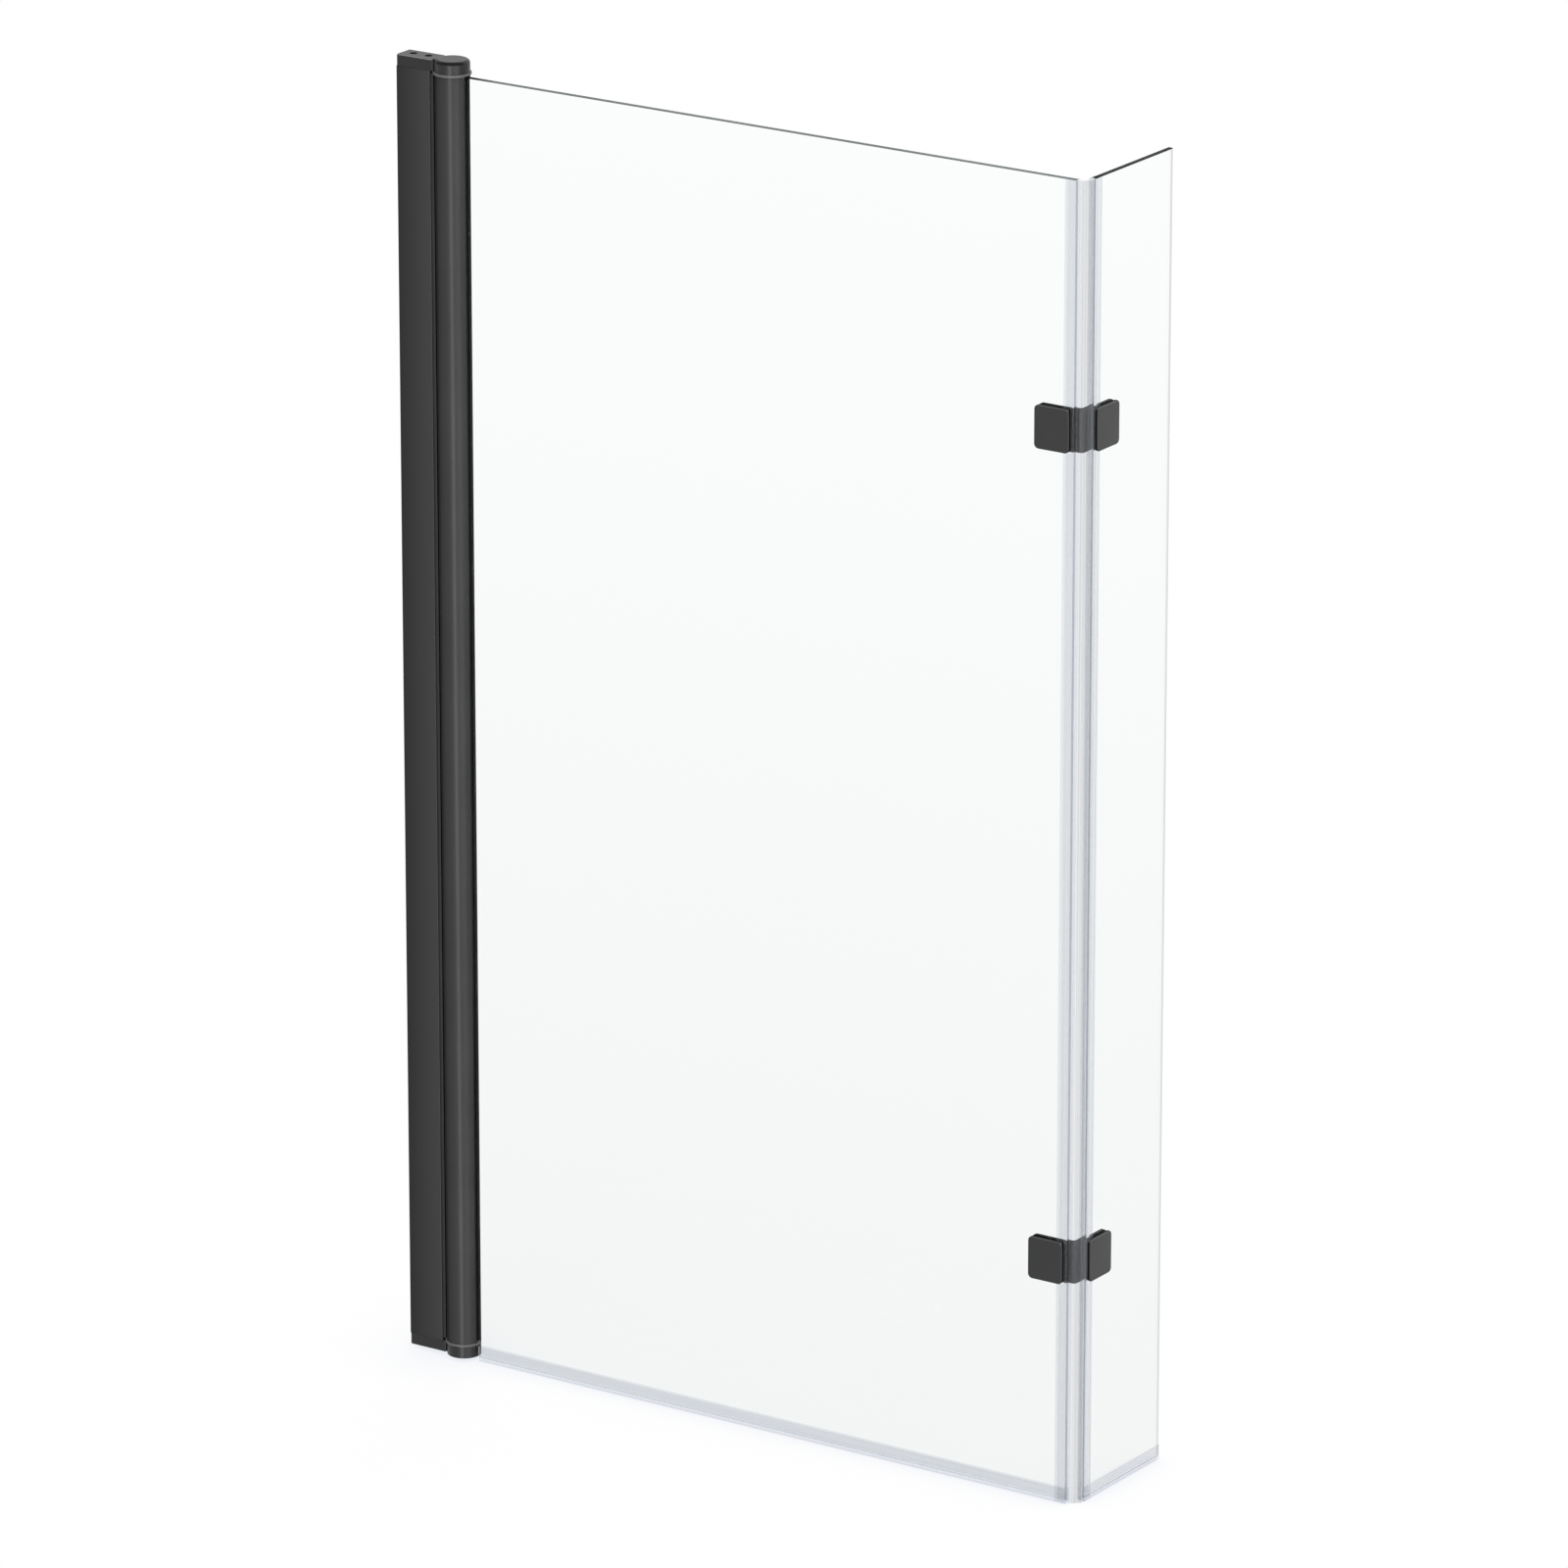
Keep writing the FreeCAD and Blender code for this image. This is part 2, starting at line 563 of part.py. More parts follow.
def corner_seal():
    """The corner seal, cut away for the bracket bodies and plates and for the bottom seals."""
    seal = extrusion(CORNER_LIFT, GLASS_TOP - CORNER_TOP_DROP, corner_section())
    plate_edge = MAIN_REACH - MAIN_PLATE_INSET + CORNER_BODY_CLEARANCE
    wing_start = MAIN_REACH - CORNER_MAIN_WING
    wing_end = RETURN_START + CORNER_RETURN_WING
    clip_end = MAIN_REACH + CORNER_BASE_T
    outer = RETURN_MIDDLE + GLASS_HALF
    plate_y = RETURN_START + RETURN_PLATE_INSET - CORNER_BODY_CLEARANCE
    for middle in BRACKETS.values():
        low = middle - PLATE_H / 2 - CORNER_BODY_CLEARANCE
        high = middle + PLATE_H / 2 + CORNER_BODY_CLEARANCE
        seal = seal.cut([
            box(wing_start, plate_edge, -WING_HALF, -GLASS_HALF, low, high),
            box(wing_start, clip_end, GLASS_HALF, WING_HALF, low, high),
            box(RETURN_MIDDLE - WING_HALF, RETURN_INNER, CORNER_BEVEL_Y, wing_end, low, high),
            box(outer, outer + WING_HALF, plate_y, wing_end, low, high),
        ])
    over = BOTTOM_SEAL_H + SEAL_T
    along = box(wing_start, MAIN_REACH, -SEAL_HALF, SEAL_HALF, 0, over)
    across = box(
        RETURN_MIDDLE - SEAL_HALF, RETURN_MIDDLE + SEAL_HALF, RETURN_START, wing_end, 0, over
    )
    return seal.cut([along, across])


def outer_plate():
    """A bracket plate on the outer face (-Y) of a panel, with the boss that takes the screw."""
    half_w = PLATE_W / 2
    half_h = PLATE_H / 2
    plate = box(-half_w, half_w, -PLATE_OUTER, -PLATE_INNER, -half_h, half_h)
    plate = plate.makeFillet(PLATE_CORNER_R, edges_along(plate, Y_AXIS))
    plate = plate.makeChamfer(PLATE_EDGE, edges_at(plate.Edges, Y_AXIS, -PLATE_OUTER))
    boss_end = GLASS_HALF - PLATE_BOSS_SHORT
    boss = Part.makeCylinder(PLATE_BOSS_R, boss_end + PLATE_INNER, -Y_AXIS * PLATE_INNER, Y_AXIS)
    bore = BRACKET_SCREW_GRIP + BRACKET_BORE_SPARE
    start = Y_AXIS * (boss_end - bore)
    return joined(plate, boss).cut(Part.makeCylinder(BRACKET_SCREW_R, bore, start, Y_AXIS))


def bracket_pads():
    """The two gaskets of a bracket on one panel."""
    half_w = PLATE_W / 2 - PAD_INSET
    half_h = PLATE_H / 2 - PAD_INSET
    pad = box(-half_w, half_w, -PLATE_INNER, -GLASS_HALF, -half_h, half_h)
    pad = pad.makeFillet(PLATE_CORNER_R - PAD_INSET, edges_along(pad, Y_AXIS))
    pad = pad.cut(Part.makeCylinder(GLASS_HOLE_R, PAD_T, -Y_AXIS * PLATE_INNER, Y_AXIS))
    return [pad, pad.mirror(ORIGIN, Y_AXIS)]


def bracket_sleeve():
    """The sleeve between the boss of a plate and the hole in the glass."""
    radius = GLASS_HOLE_R - SLEEVE_CLEARANCE
    length = GLASS_T - PLATE_BOSS_SHORT
    sleeve = Part.makeCylinder(radius, length, -Y_AXIS * GLASS_HALF, Y_AXIS)
    return sleeve.cut(Part.makeCylinder(PLATE_BOSS_R, length, -Y_AXIS * GLASS_HALF, Y_AXIS))


def countersink(radius, spread, top):
    """The cone and shank of a countersunk hole or head that opens towards +Y."""
    neck = top - (BRACKET_HEAD_R - BRACKET_SCREW_R)
    end = GLASS_HALF - PLATE_BOSS_SHORT - BRACKET_SCREW_GRIP
    return turned(
        [(0, top), (BRACKET_HEAD_R + spread, top), (radius, neck), (radius, end), (0, end)],
        Y_AXIS,
    )


def bracket_screw():
    """A countersunk screw from the bracket body into the boss of a plate."""
    return countersink(BRACKET_SCREW_R, 0, PLATE_OUTER - BRACKET_HEAD_SUNK)


def bracket_body():
    """The angle that joins the panels on their inner faces, centred on Z = 0."""
    half_h = PLATE_H / 2
    start = MAIN_SCREW_X - PLATE_W / 2
    end = RETURN_SCREW_Y + PLATE_W / 2
    outer_x = RETURN_INNER - PAD_T
    inner_x = outer_x - PLATE_T
    legs = [
        rect(start, outer_x, PLATE_INNER, PLATE_OUTER),
        rect(inner_x, outer_x, PLATE_INNER, end),
    ]
    body = extrusion(-half_h, half_h, legs)
    corner = edges_at(edges_at(edges_along(body, Z_AXIS), X_AXIS, outer_x), Y_AXIS, PLATE_INNER)
    body = body.makeFillet(BODY_CORNER_R, corner)
    bend = edges_at(edges_at(edges_along(body, Z_AXIS), X_AXIS, inner_x), Y_AXIS, PLATE_OUTER)
    body = body.makeFillet(BODY_INNER_R, bend)
    ends = edges_at(edges_along(body, Y_AXIS), X_AXIS, start)
    ends += edges_at(edges_along(body, X_AXIS), Y_AXIS, end)
    body = body.makeFillet(PLATE_CORNER_R, ends)
    spread = BRACKET_SCREW_HOLE_CLEARANCE
    hole = countersink(BRACKET_SCREW_R + spread, spread + BRACKET_HEAD_SUNK, PLATE_OUTER)
    return body.cut([on_panel(hole, "main", 0), on_panel(hole, "return", 0)])


def on_panel(shape, panel, z):
    """A bracket piece put in its place on the main or the return panel."""
    if panel == "main":
        return placed(shape, MAIN_SCREW_X, 0, z)
    return placed(on_return(shape), RETURN_MIDDLE, RETURN_SCREW_Y, z)


def bracket(name, z):
    """All pieces of the bracket at a height."""
    panels = ("main", "return")
    pads = [on_panel(pad, panel, z) for panel in panels for pad in bracket_pads()]
    pieces = {
        f"{name}_bracket_body": [placed(bracket_body(), 0, 0, z)],
        f"{name}_bracket_gaskets": pads,
        f"{name}_bracket_sleeves": [on_panel(bracket_sleeve(), panel, z) for panel in panels],
        f"{name}_bracket_screws": [on_panel(bracket_screw(), panel, z) for panel in panels],
    }
    for panel in panels:
        pieces[f"{name}_{panel}_plate"] = [on_panel(outer_plate(), panel, z)]
    return pieces


def all_pieces():
    """Every piece of the screen by name, each as a list of solids."""
    top = Z_AXIS * CHANNEL_TOP
    bottom = Z_AXIS * CHANNEL_BOTTOM
    axis = X_AXIS * HINGE_X
    pieces = {
        "wall_channel": [wall_channel()],
        "pivot_post": [pivot_post()],
        "hinge_wiper_seal": [hinge_wiper_seal()],
        "post_fixing_screws": post_fixing_screws(),
        "top_cap": [placed(cap(TOP_CAP_H, TOP_RIM_R), *top)],
        "bottom_cap": [placed(flipped(cap(BOTTOM_CAP_H, BOTTOM_RIM_R)), *bottom)],
        "top_cap_screws": [placed(screw, *top) for screw in cap_screws(TOP_CAP_H)],
        "bottom_cap_screws": [placed(flipped(s), *bottom) for s in cap_screws(BOTTOM_CAP_H)],
        "top_pivot_pin": [placed(pin(), *(axis + top))],
        "bottom_pivot_pin": [placed(flipped(pin()), *(axis + bottom))],
        "top_bearing_washer": [placed(washer(), *(axis + top))],
        "bottom_bearing_washer": [placed(flipped(washer()), *(axis + bottom))],
        "hinge_tube": [hinge_tube()],
        "top_bush": [placed(bush(), HINGE_X, 0, SCREEN_HEIGHT)],
        "bottom_bush": [placed(flipped(bush()), HINGE_X, 0, TUBE_LIFT)],
        "front_glazing_gasket": [glazing_gasket(-1)],
        "rear_glazing_gasket": [glazing_gasket(1)],
        "main_glass": [main_glass()],
        "return_glass": [return_glass()],
        "corner_seal": [corner_seal()],
        "main_bottom_seal": [main_bottom_seal()],
        "return_bottom_seal": [return_bottom_seal()],
    }
    for name, z in BRACKETS.items():
        pieces.update(bracket(name, z))
    return pieces


os.makedirs("parts", exist_ok=True)
for node, shapes in all_pieces().items():
    solids = [solid for shape in shapes for solid in shape.Solids]
    if len(solids) != len(shapes) or not all(solid.isValid() for solid in solids):
        raise ValueError(f"{node}: {len(solids)} solids from {len(shapes)} shapes")
    whole = solids[0] if len(solids) == 1 else Part.makeCompound(solids)
    placed(whole, 0, 0, -MIDDLE_Z).exportStep(f"parts/{node}.step")
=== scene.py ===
"""Looks of the L-shaped bath screen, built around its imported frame.

Lengths are metres in the frame's own axes: X from the wall along the main panel, Y towards the
return panel and Z up, with Z = 0 at the middle of the wall fixings.
"""

import functools
import logging
import math
from collections.abc import Callable, Mapping, Sequence
from dataclasses import dataclass, replace
from enum import Enum, IntEnum
from typing import Any

import bmesh
import bpy
from mathutils import Matrix, Vector


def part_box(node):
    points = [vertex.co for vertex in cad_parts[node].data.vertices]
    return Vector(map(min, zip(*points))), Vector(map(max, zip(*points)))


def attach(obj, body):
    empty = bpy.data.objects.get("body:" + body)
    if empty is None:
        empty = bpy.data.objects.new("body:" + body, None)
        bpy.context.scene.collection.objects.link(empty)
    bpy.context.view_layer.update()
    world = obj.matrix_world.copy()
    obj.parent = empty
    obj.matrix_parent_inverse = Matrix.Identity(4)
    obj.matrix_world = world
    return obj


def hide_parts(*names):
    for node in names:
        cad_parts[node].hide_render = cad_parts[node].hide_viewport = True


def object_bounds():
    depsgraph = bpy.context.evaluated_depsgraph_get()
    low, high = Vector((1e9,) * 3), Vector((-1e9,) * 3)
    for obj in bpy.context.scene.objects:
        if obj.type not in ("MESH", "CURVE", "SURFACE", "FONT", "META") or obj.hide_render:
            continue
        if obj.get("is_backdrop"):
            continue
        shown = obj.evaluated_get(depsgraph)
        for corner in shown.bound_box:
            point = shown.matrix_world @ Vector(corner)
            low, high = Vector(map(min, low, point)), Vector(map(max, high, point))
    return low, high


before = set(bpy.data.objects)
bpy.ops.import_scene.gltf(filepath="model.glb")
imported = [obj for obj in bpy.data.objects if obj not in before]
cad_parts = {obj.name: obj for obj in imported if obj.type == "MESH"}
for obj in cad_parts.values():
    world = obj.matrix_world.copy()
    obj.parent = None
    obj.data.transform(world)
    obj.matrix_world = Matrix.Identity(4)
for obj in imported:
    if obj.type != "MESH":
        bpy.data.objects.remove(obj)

LOG = logging.getLogger("bath_screen")
MM = 0.001
Colour = tuple[float, float, float]
Place = tuple[float, float, float]
Point = tuple[float, float]
Span = tuple[float, float]
Socket = bpy.types.NodeSocket

GLASS_IOR = 1.5
UNBENT_IOR = 1.02       # too low to bend the view
WAVE_PERIOD = 0.314     # of the wave texture at a scale of 1
SHARP = math.radians(30)
SAME_POINT = 1e-6       # distance within which two points are one
ON_CUT = 1e-7           # distance within which a point lies on a cut
SQUARE = 0.9            # cosine from which a face counts as square to a direction
STEEP = 0.5             # cosine from which a face counts as turned towards a direction
SCREEN_MIDDLE = 0.42    # X of the middle of the screen
WHITE: Colour = (1.0, 1.0, 1.0)


class Body(Enum):
    """The two rigid bodies that the hinge joins."""

    WALL_SIDE = "wall_side"
    SCREEN = "screen"


class Drive(Enum):
    """Shape of the recess in a screw head."""

    CROSS = "cross"
    HEXAGON = "hexagon"


class Axis(Enum):
    """An axis of the frame."""

    X = 0
    Y = 1
    Z = 2

    @property
    def way(self) -> Vector:
        """The unit vector along the axis."""
        return Vector([float(at == self.value) for at in range(3)])


class SheetFace(IntEnum):
    """The kinds of face on a sheet of glass, in the order of its materials."""

    BROAD = 0
    TOP = 1
    LOW = 2
    SIDE = 3
    LINE = 4
    UNBENT = 5
    FAR = 6


class Nodes:
    """The nodes of a shader tree."""

    def __init__(self, tree: bpy.types.NodeTree) -> None:
        """Empties the tree.

        Args:
            tree: The tree.
        """
        self.tree: bpy.types.NodeTree = tree
        tree.nodes.clear()

    def put(self, socket: Socket, value: Any) -> None:
        """Sets an input to a plain value, or joins an output to it.

        Args:
            socket: The input.
            value: The value or the output.
        """
        if isinstance(value, Socket):
            self.tree.links.new(value, socket)
        else:
            socket.default_value = value

    def add(
        self, kind: str, values: Mapping[str | int, Any] | None = None, **settings: Any
    ) -> bpy.types.Node:
        """Adds a node.

        Args:
            kind: Type name of the node.
            values: Names or numbers of its inputs, with what to put on them.
            **settings: Attributes of the node.

        Returns:
            The node.
        """
        node = self.tree.nodes.new(kind)
        for name, value in settings.items():
            setattr(node, name, value)
        for name, value in (values or {}).items():
            self.put(node.inputs[name], value)
        return node

    def maths(self, operation: str, first: Socket, second: Socket, **settings: Any) -> Socket:
        """A value worked out from two others.

        Args:
            operation: What to do with them.
            first: One value.
            second: The other value.
            **settings: Further attributes of the node.

        Returns:
            The result.
        """
        values = {0: first, 1: second}
        return self.add("ShaderNodeMath", values, operation=operation, **settings).outputs["Value"]

    def spread(
        self, value: Socket, low: float, high: float, start: float = 0.3, end: float = 0.7, **settings: Any
    ) -> Socket:
        """A value mapped from one range to another.

        Args:
            value: The value.
            low: Result at start.
            high: Result at end.
            start: Lower end of the value's range.
            end: Upper end of the value's range.
            **settings: Attributes of the node.

        Returns:
            The mapped value.
        """
        values = {"Value": value, "From Min": start, "From Max": end, "To Min": low, "To Max": high}
        return self.add("ShaderNodeMapRange", values, **settings).outputs["Result"]

    def blended(self, share: Socket, first: Sequence[float], second: Sequence[float]) -> Socket:
        """A colour between two others.

        Args:
            share: Share of the second colour.
            first: Colour at 0.
            second: Colour at 1.

        Returns:
            The colour.
        """
        values = {"Factor": share, "A": (*first, 1.0), "B": (*second, 1.0)}
        return self.add("ShaderNodeMix", values, data_type="RGBA").outputs["Result"]

    def mixed(self, share: Any, first: Socket, second: Socket) -> Socket:
        """A shader between two others.

        Args:
            share: Share of the second shader.
            first: Shader at 0.
            second: Shader at 1.

        Returns:
            The shader.
        """
        return self.add("ShaderNodeMixShader", {0: share, 1: first, 2: second}).outputs["Shader"]


class Graph(Nodes):
    """The nodes of a material, with a Principled shader at the output."""

    def __init__(self, name: str) -> None:
        """Makes the material.

        Args:
            name: Name of the material.
        """
        self.material: bpy.types.Material = bpy.data.materials.new(name)
        self.material.use_nodes = True
        super().__init__(self.material.node_tree)
        self.shader: bpy.types.Node = self.add("ShaderNodeBsdfPrincipled")
        self.output: bpy.types.Node = self.add("ShaderNodeOutputMaterial")
        self.put(self.output.inputs["Surface"], self.shader.outputs["BSDF"])
        self.place: Socket = self.add("ShaderNodeTexCoord").outputs["Object"]

    def surface(self, **values: Any) -> None:
        """Puts values on the shader's own sockets.

        Args:
            **values: Socket names with underscores for spaces, and a value or an output for each.
        """
        for name, value in values.items():
            self.put(self.shader.inputs[name.replace("_", " ")], value)

    def along(self, axis: Axis) -> Socket:
        """One coordinate of the place on the surface."""
        return self.add("ShaderNodeSeparateXYZ", {"Vector": self.place}).outputs[axis.value]

    def stretched(self, axis: Axis, share: float) -> Socket:
        """Coordinates scaled along one axis.

        Args:
            axis: The axis.
            share: Scale along that axis.

        Returns:
            The coordinates.
        """
        if share == 1.0:
            return self.place
        scale = [1.0, 1.0, 1.0]
        scale[axis.value] = share
        return self.add("ShaderNodeMapping", {"Scale": scale, "Vector": self.place}).outputs["Vector"]

    def noise(self, size: float, detail: float = 3.0, at: Socket | None = None) -> Socket:
        """Noise with spots of a given size.

        Args:
            size: Size of the spots.
            detail: Number of finer layers.
            at: Coordinates, by default the object's own.

        Returns:
            The noise, from 0 to 1.
        """
        values = {"Scale": 1.0 / size, "Detail": detail, "Vector": at or self.place}
        return self.add("ShaderNodeTexNoise", values).outputs["Fac"]

    def varied(self, share: Socket, colour: Colour, unevenness: float) -> Socket:
        """A colour that varies over the surface.

        Args:
            share: 0 where it is darkest and 1 where it is lightest.
            colour: Colour halfway.
            unevenness: Share by which it varies.

        Returns:
            The colour.
        """
        ends = [[part * factor for part in colour] for factor in (1 - unevenness, 1 + unevenness)]
        return self.blended(share, *ends)

    def veiled(self, colour: Colour, share: float) -> None:
        """Lets a share of the view through in one colour only.

        Args:
            colour: The colour.
            share: Share of the view.
        """
        clear = self.add("ShaderNodeBsdfTransparent", {"Color": (*colour, 1.0)})
        mixed = self.mixed(share, self.shader.outputs["BSDF"], clear.outputs["BSDF"])
        self.put(self.output.inputs["Surface"], mixed)

    def raised(self, height: Socket, distance: float) -> None:
        """Puts a bump on the shader.

        Args:
            height: Height from 0 to 1.
            distance: Real height of a step from 0 to 1.
        """
        bump = self.add("ShaderNodeBump", {"Distance": distance, "Height": height})
        self.surface(Normal=bump.outputs["Normal"])


@dataclass(frozen=True)
class Finish:
    """What the surface of a piece is made of.

    Attributes:
        slot: The record's material slot.
        colour: Main colour.
    """

    slot: str
    colour: Colour

    def material(self) -> bpy.types.Material:
        """Builds the material."""
        raise NotImplementedError


@dataclass(frozen=True)
class Grained(Finish):
    """A surface with a fine grain, on which the colour varies.

    Attributes:
        roughness: Roughness from the smoothest to the dullest spots.
        specular: Strength of the mirror part.
        grain: Size of the grain.
        depth: Height of the grain.
        unevenness: Share by which the colour varies.
        name: What sets it apart from the slot's other finishes.
        detail: Number of finer layers in the grain.
        axis: Axis along which the grain is scaled.
        drawn: Scale along that axis.
        painted_shade_span: X where painted shade makes the colour darkest and lightest, if it changes along
            X.
    """

    roughness: Span = (0.4, 0.5)
    specular: float = 0.5
    grain: float = 1.1 * MM
    depth: float = 0.012 * MM
    unevenness: float = 0.12
    name: str = ""
    detail: float = 3.0
    axis: Axis = Axis.Z
    drawn: float = 1.0
    painted_shade_span: Span | None = None

    def material(self) -> bpy.types.Material:
        """Builds the material.

        Returns:
            The material.
        """
        graph = Graph(f"{self.slot}_{self.name}" if self.name else self.slot)
        marks = graph.noise(self.grain, self.detail, graph.stretched(self.axis, self.drawn))
        # A span along X paints shade in place of the grain's own shade.
        if self.painted_shade_span:
            shade = graph.spread(graph.along(Axis.X), 0.0, 1.0, *self.painted_shade_span)
        else:
            shade = self.shade(graph, marks)
        graph.surface(
            Base_Color=graph.varied(shade, self.colour, self.unevenness),
            Roughness=graph.spread(marks, *self.roughness),
            Specular_IOR_Level=self.specular,
        )
        graph.raised(marks, self.depth)
        self.complete(graph, marks)
        return graph.material

    def shade(self, graph: Graph, marks: Socket) -> Socket:
        """Where the colour is dark, at 0, and light, at 1."""
        return marks

    def complete(self, graph: Graph, marks: Socket) -> None:
        """Adds what only this kind of finish has."""
        raise NotImplementedError


@dataclass(frozen=True)
class Opaque(Grained):
    """Satin paint, moulded plastic, rubber or plain steel.

    Attributes:
        pigment: Share of metal in it.
        glance: How bright a glancing view of it is.
        patch: Size of the darker and lighter patches.
        patch_detail: Number of finer layers in them.
    """

    pigment: float = 0.0
    glance: float = 1.0
    patch: float = 60 * MM
    patch_detail: float = 4.0

    def shade(self, graph: Graph, marks: Socket) -> Socket:
        """Where the colour is dark, at 0, and light, at 1."""
        return graph.noise(self.patch, self.patch_detail)

    def complete(self, graph: Graph, marks: Socket) -> None:
        """Adds the metal."""
        graph.surface(Specular_Tint=(self.glance, self.glance, self.glance, 1.0), Metallic=self.pigment)


@dataclass(frozen=True)
class ToughenedGlass(Finish):
    """Clear glass, darker towards the floor by a painted reflection, with the faint waves of toughening.

    Attributes:
        bend: Index of refraction.
        painted_reflection_colour: Colour at the bottom, darkened by a painted reflection.
        bottom: Height where the low colour is reached.
        top: Height where the main colour is reached.
        wave: Distance between the waves.
        wander: How much the waves wander.
        ripple: Height of the waves.
    """

    bend: float = GLASS_IOR
    painted_reflection_colour: Colour = (0.90, 0.915, 0.913)
    bottom: float = -0.70
    top: float = 0.70
    wave: float = 260 * MM
    wander: float = 0.6
    ripple: float = 0.02 * MM

    def material(self) -> bpy.types.Material:
        """Builds the material.

        Returns:
            The material.
        """
        graph = Graph(self.slot)
        # The colour darkens towards the floor: a painted reflection.
        height = graph.spread(graph.along(Axis.Z), 0.0, 1.0, self.bottom, self.top)
        graph.surface(
            Base_Color=graph.blended(height, self.painted_reflection_colour, self.colour),
            Transmission_Weight=1.0,
            Roughness=0.0,
            IOR=self.bend,
            Specular_Tint=(0.0, 0.0, 0.0, 1.0),
        )
        values = {"Scale": WAVE_PERIOD / self.wave, "Distortion": self.wander, "Vector": graph.place}
        waves = graph.add("ShaderNodeTexWave", values, bands_direction="Z")
        graph.raised(waves.outputs["Fac"], self.ripple)
        return graph.material


@dataclass(frozen=True)
class GroundEdge(Grained):
    """The ground edge of a sheet of glass.

    Attributes:
        clear: Share of the light that goes through it.
    """

    roughness: Span = (0.55, 0.75)
    specular: float = 0.1
    grain: float = 0.6 * MM
    depth: float = 0.01 * MM
    unevenness: float = 0.06
    detail: float = 4.0
    clear: float = 0.0

    def complete(self, graph: Graph, marks: Socket) -> None:
        """Lets light through a clear edge."""
        graph.surface(Transmission_Weight=self.clear, IOR=UNBENT_IOR if self.clear else GLASS_IOR)


@dataclass(frozen=True)
class ClearVinyl(Grained):
    """Clear flexible plastic with draw lines along its length.

    Attributes:
        bend: Index of refraction.
        band: Width of a band of colour.
    """

    roughness: Span = (0.05, 0.12)
    grain: float = 0.9 * MM
    depth: float = 0.003 * MM
    unevenness: float = 0.02
    detail: float = 2.0
    drawn: float = 0.01
    bend: float = 1.12
    band: float = 2.5 * MM

    def shade(self, graph: Graph, marks: Socket) -> Socket:
        """Where the colour is dark, at 0, and light, at 1."""
        bands = graph.noise(self.band, 1.0, graph.stretched(self.axis, self.drawn))
        return graph.spread(bands, 0.0, 1.0)

    def complete(self, graph: Graph, marks: Socket) -> None:
        """Lets light through."""
        graph.surface(Transmission_Weight=1.0, IOR=self.bend)


@dataclass(frozen=True)
class HazyVinyl(Grained):
    """Milky flexible plastic in a thin wall, with draw lines up its length.

    Attributes:
        haze: Share of the view that each face of the wall covers.
        ridge: Share by which the haze varies from line to line.
        veil: Share of the view that each face lets through in one colour only.
        veil_colour: That colour.
    """

    roughness: Span = (0.2, 0.35)
    specular: float = 0.3
    grain: float = 1.2 * MM
    depth: float = 0.015 * MM
    unevenness: float = 0.15
    detail: float = 2.0
    drawn: float = 0.001
    haze: float = 0.1
    ridge: float = 0.45
    veil: float = 0.013
    veil_colour: Colour = (0.0, 0.35, 1.0)

    def shade(self, graph: Graph, marks: Socket) -> Socket:
        """Where the colour is dark, at 0, and light, at 1."""
        return graph.spread(marks, 0.0, 1.0)

    def complete(self, graph: Graph, marks: Socket) -> None:
        """Lets most of the view through."""
        graph.surface(Alpha=self.cover(graph, marks))
        graph.veiled(self.veil_colour, self.veil)

    def cover(self, graph: Graph, marks: Socket) -> Socket:
        """How much of the view the wall covers."""
        return graph.spread(marks, self.haze * (1 - self.ridge), self.haze * (1 + self.ridge))


@dataclass(frozen=True)
class CornerVinyl(HazyVinyl):
    """Milky plastic that is clearer beside the main panel.

    Attributes:
        clear: Share of the view that it covers there.
        fade: X where it is clearest and where it is haziest.
    """

    clear: float = 0.03
    fade: Span = (822 * MM, 825 * MM)

    def cover(self, graph: Graph, marks: Socket) -> Socket:
        """How much of the view the wall covers."""
        place = graph.spread(graph.along(Axis.X), self.clear, self.haze, *self.fade)
        return graph.maths("MULTIPLY", place, graph.spread(marks, 1 - self.ridge, 1 + self.ridge))


POWDER_COAT = Opaque("black_powder_coat", (0.05, 0.05, 0.0505), (0.32, 0.38), 0.0, pigment=0.3, glance=0.2)
# Lighter coat for the plates' upper edges: a painted highlight.
PAINTED_HIGHLIGHT_COAT = replace(POWDER_COAT, colour=(0.085, 0.085, 0.086))
# Near-black coat for the plates' sides towards the corner: painted shade.
SHADED_COAT = replace(POWDER_COAT, colour=(0.003, 0.003, 0.003), roughness=(0.4, 0.5), pigment=0.0)
# The channel's coat is darker towards the wall: painted shade.
CHANNEL_COAT = replace(POWDER_COAT, colour=(0.047, 0.047, 0.0475), unevenness=0.28, painted_shade_span=(0.0, 41 * MM))
CAP_PLASTIC = Opaque(
    "black_cap_plastic", (0.021, 0.021, 0.0214), (0.34, 0.4), 0.3, 0.5 * MM, 0.002 * MM, pigment=0.25
)
# Lighter plastic on the upper front edge of the top cap's block: a painted highlight.
CAP_PAINTED_HIGHLIGHT = replace(CAP_PLASTIC, colour=(0.15, 0.15, 0.152), pigment=0.0)
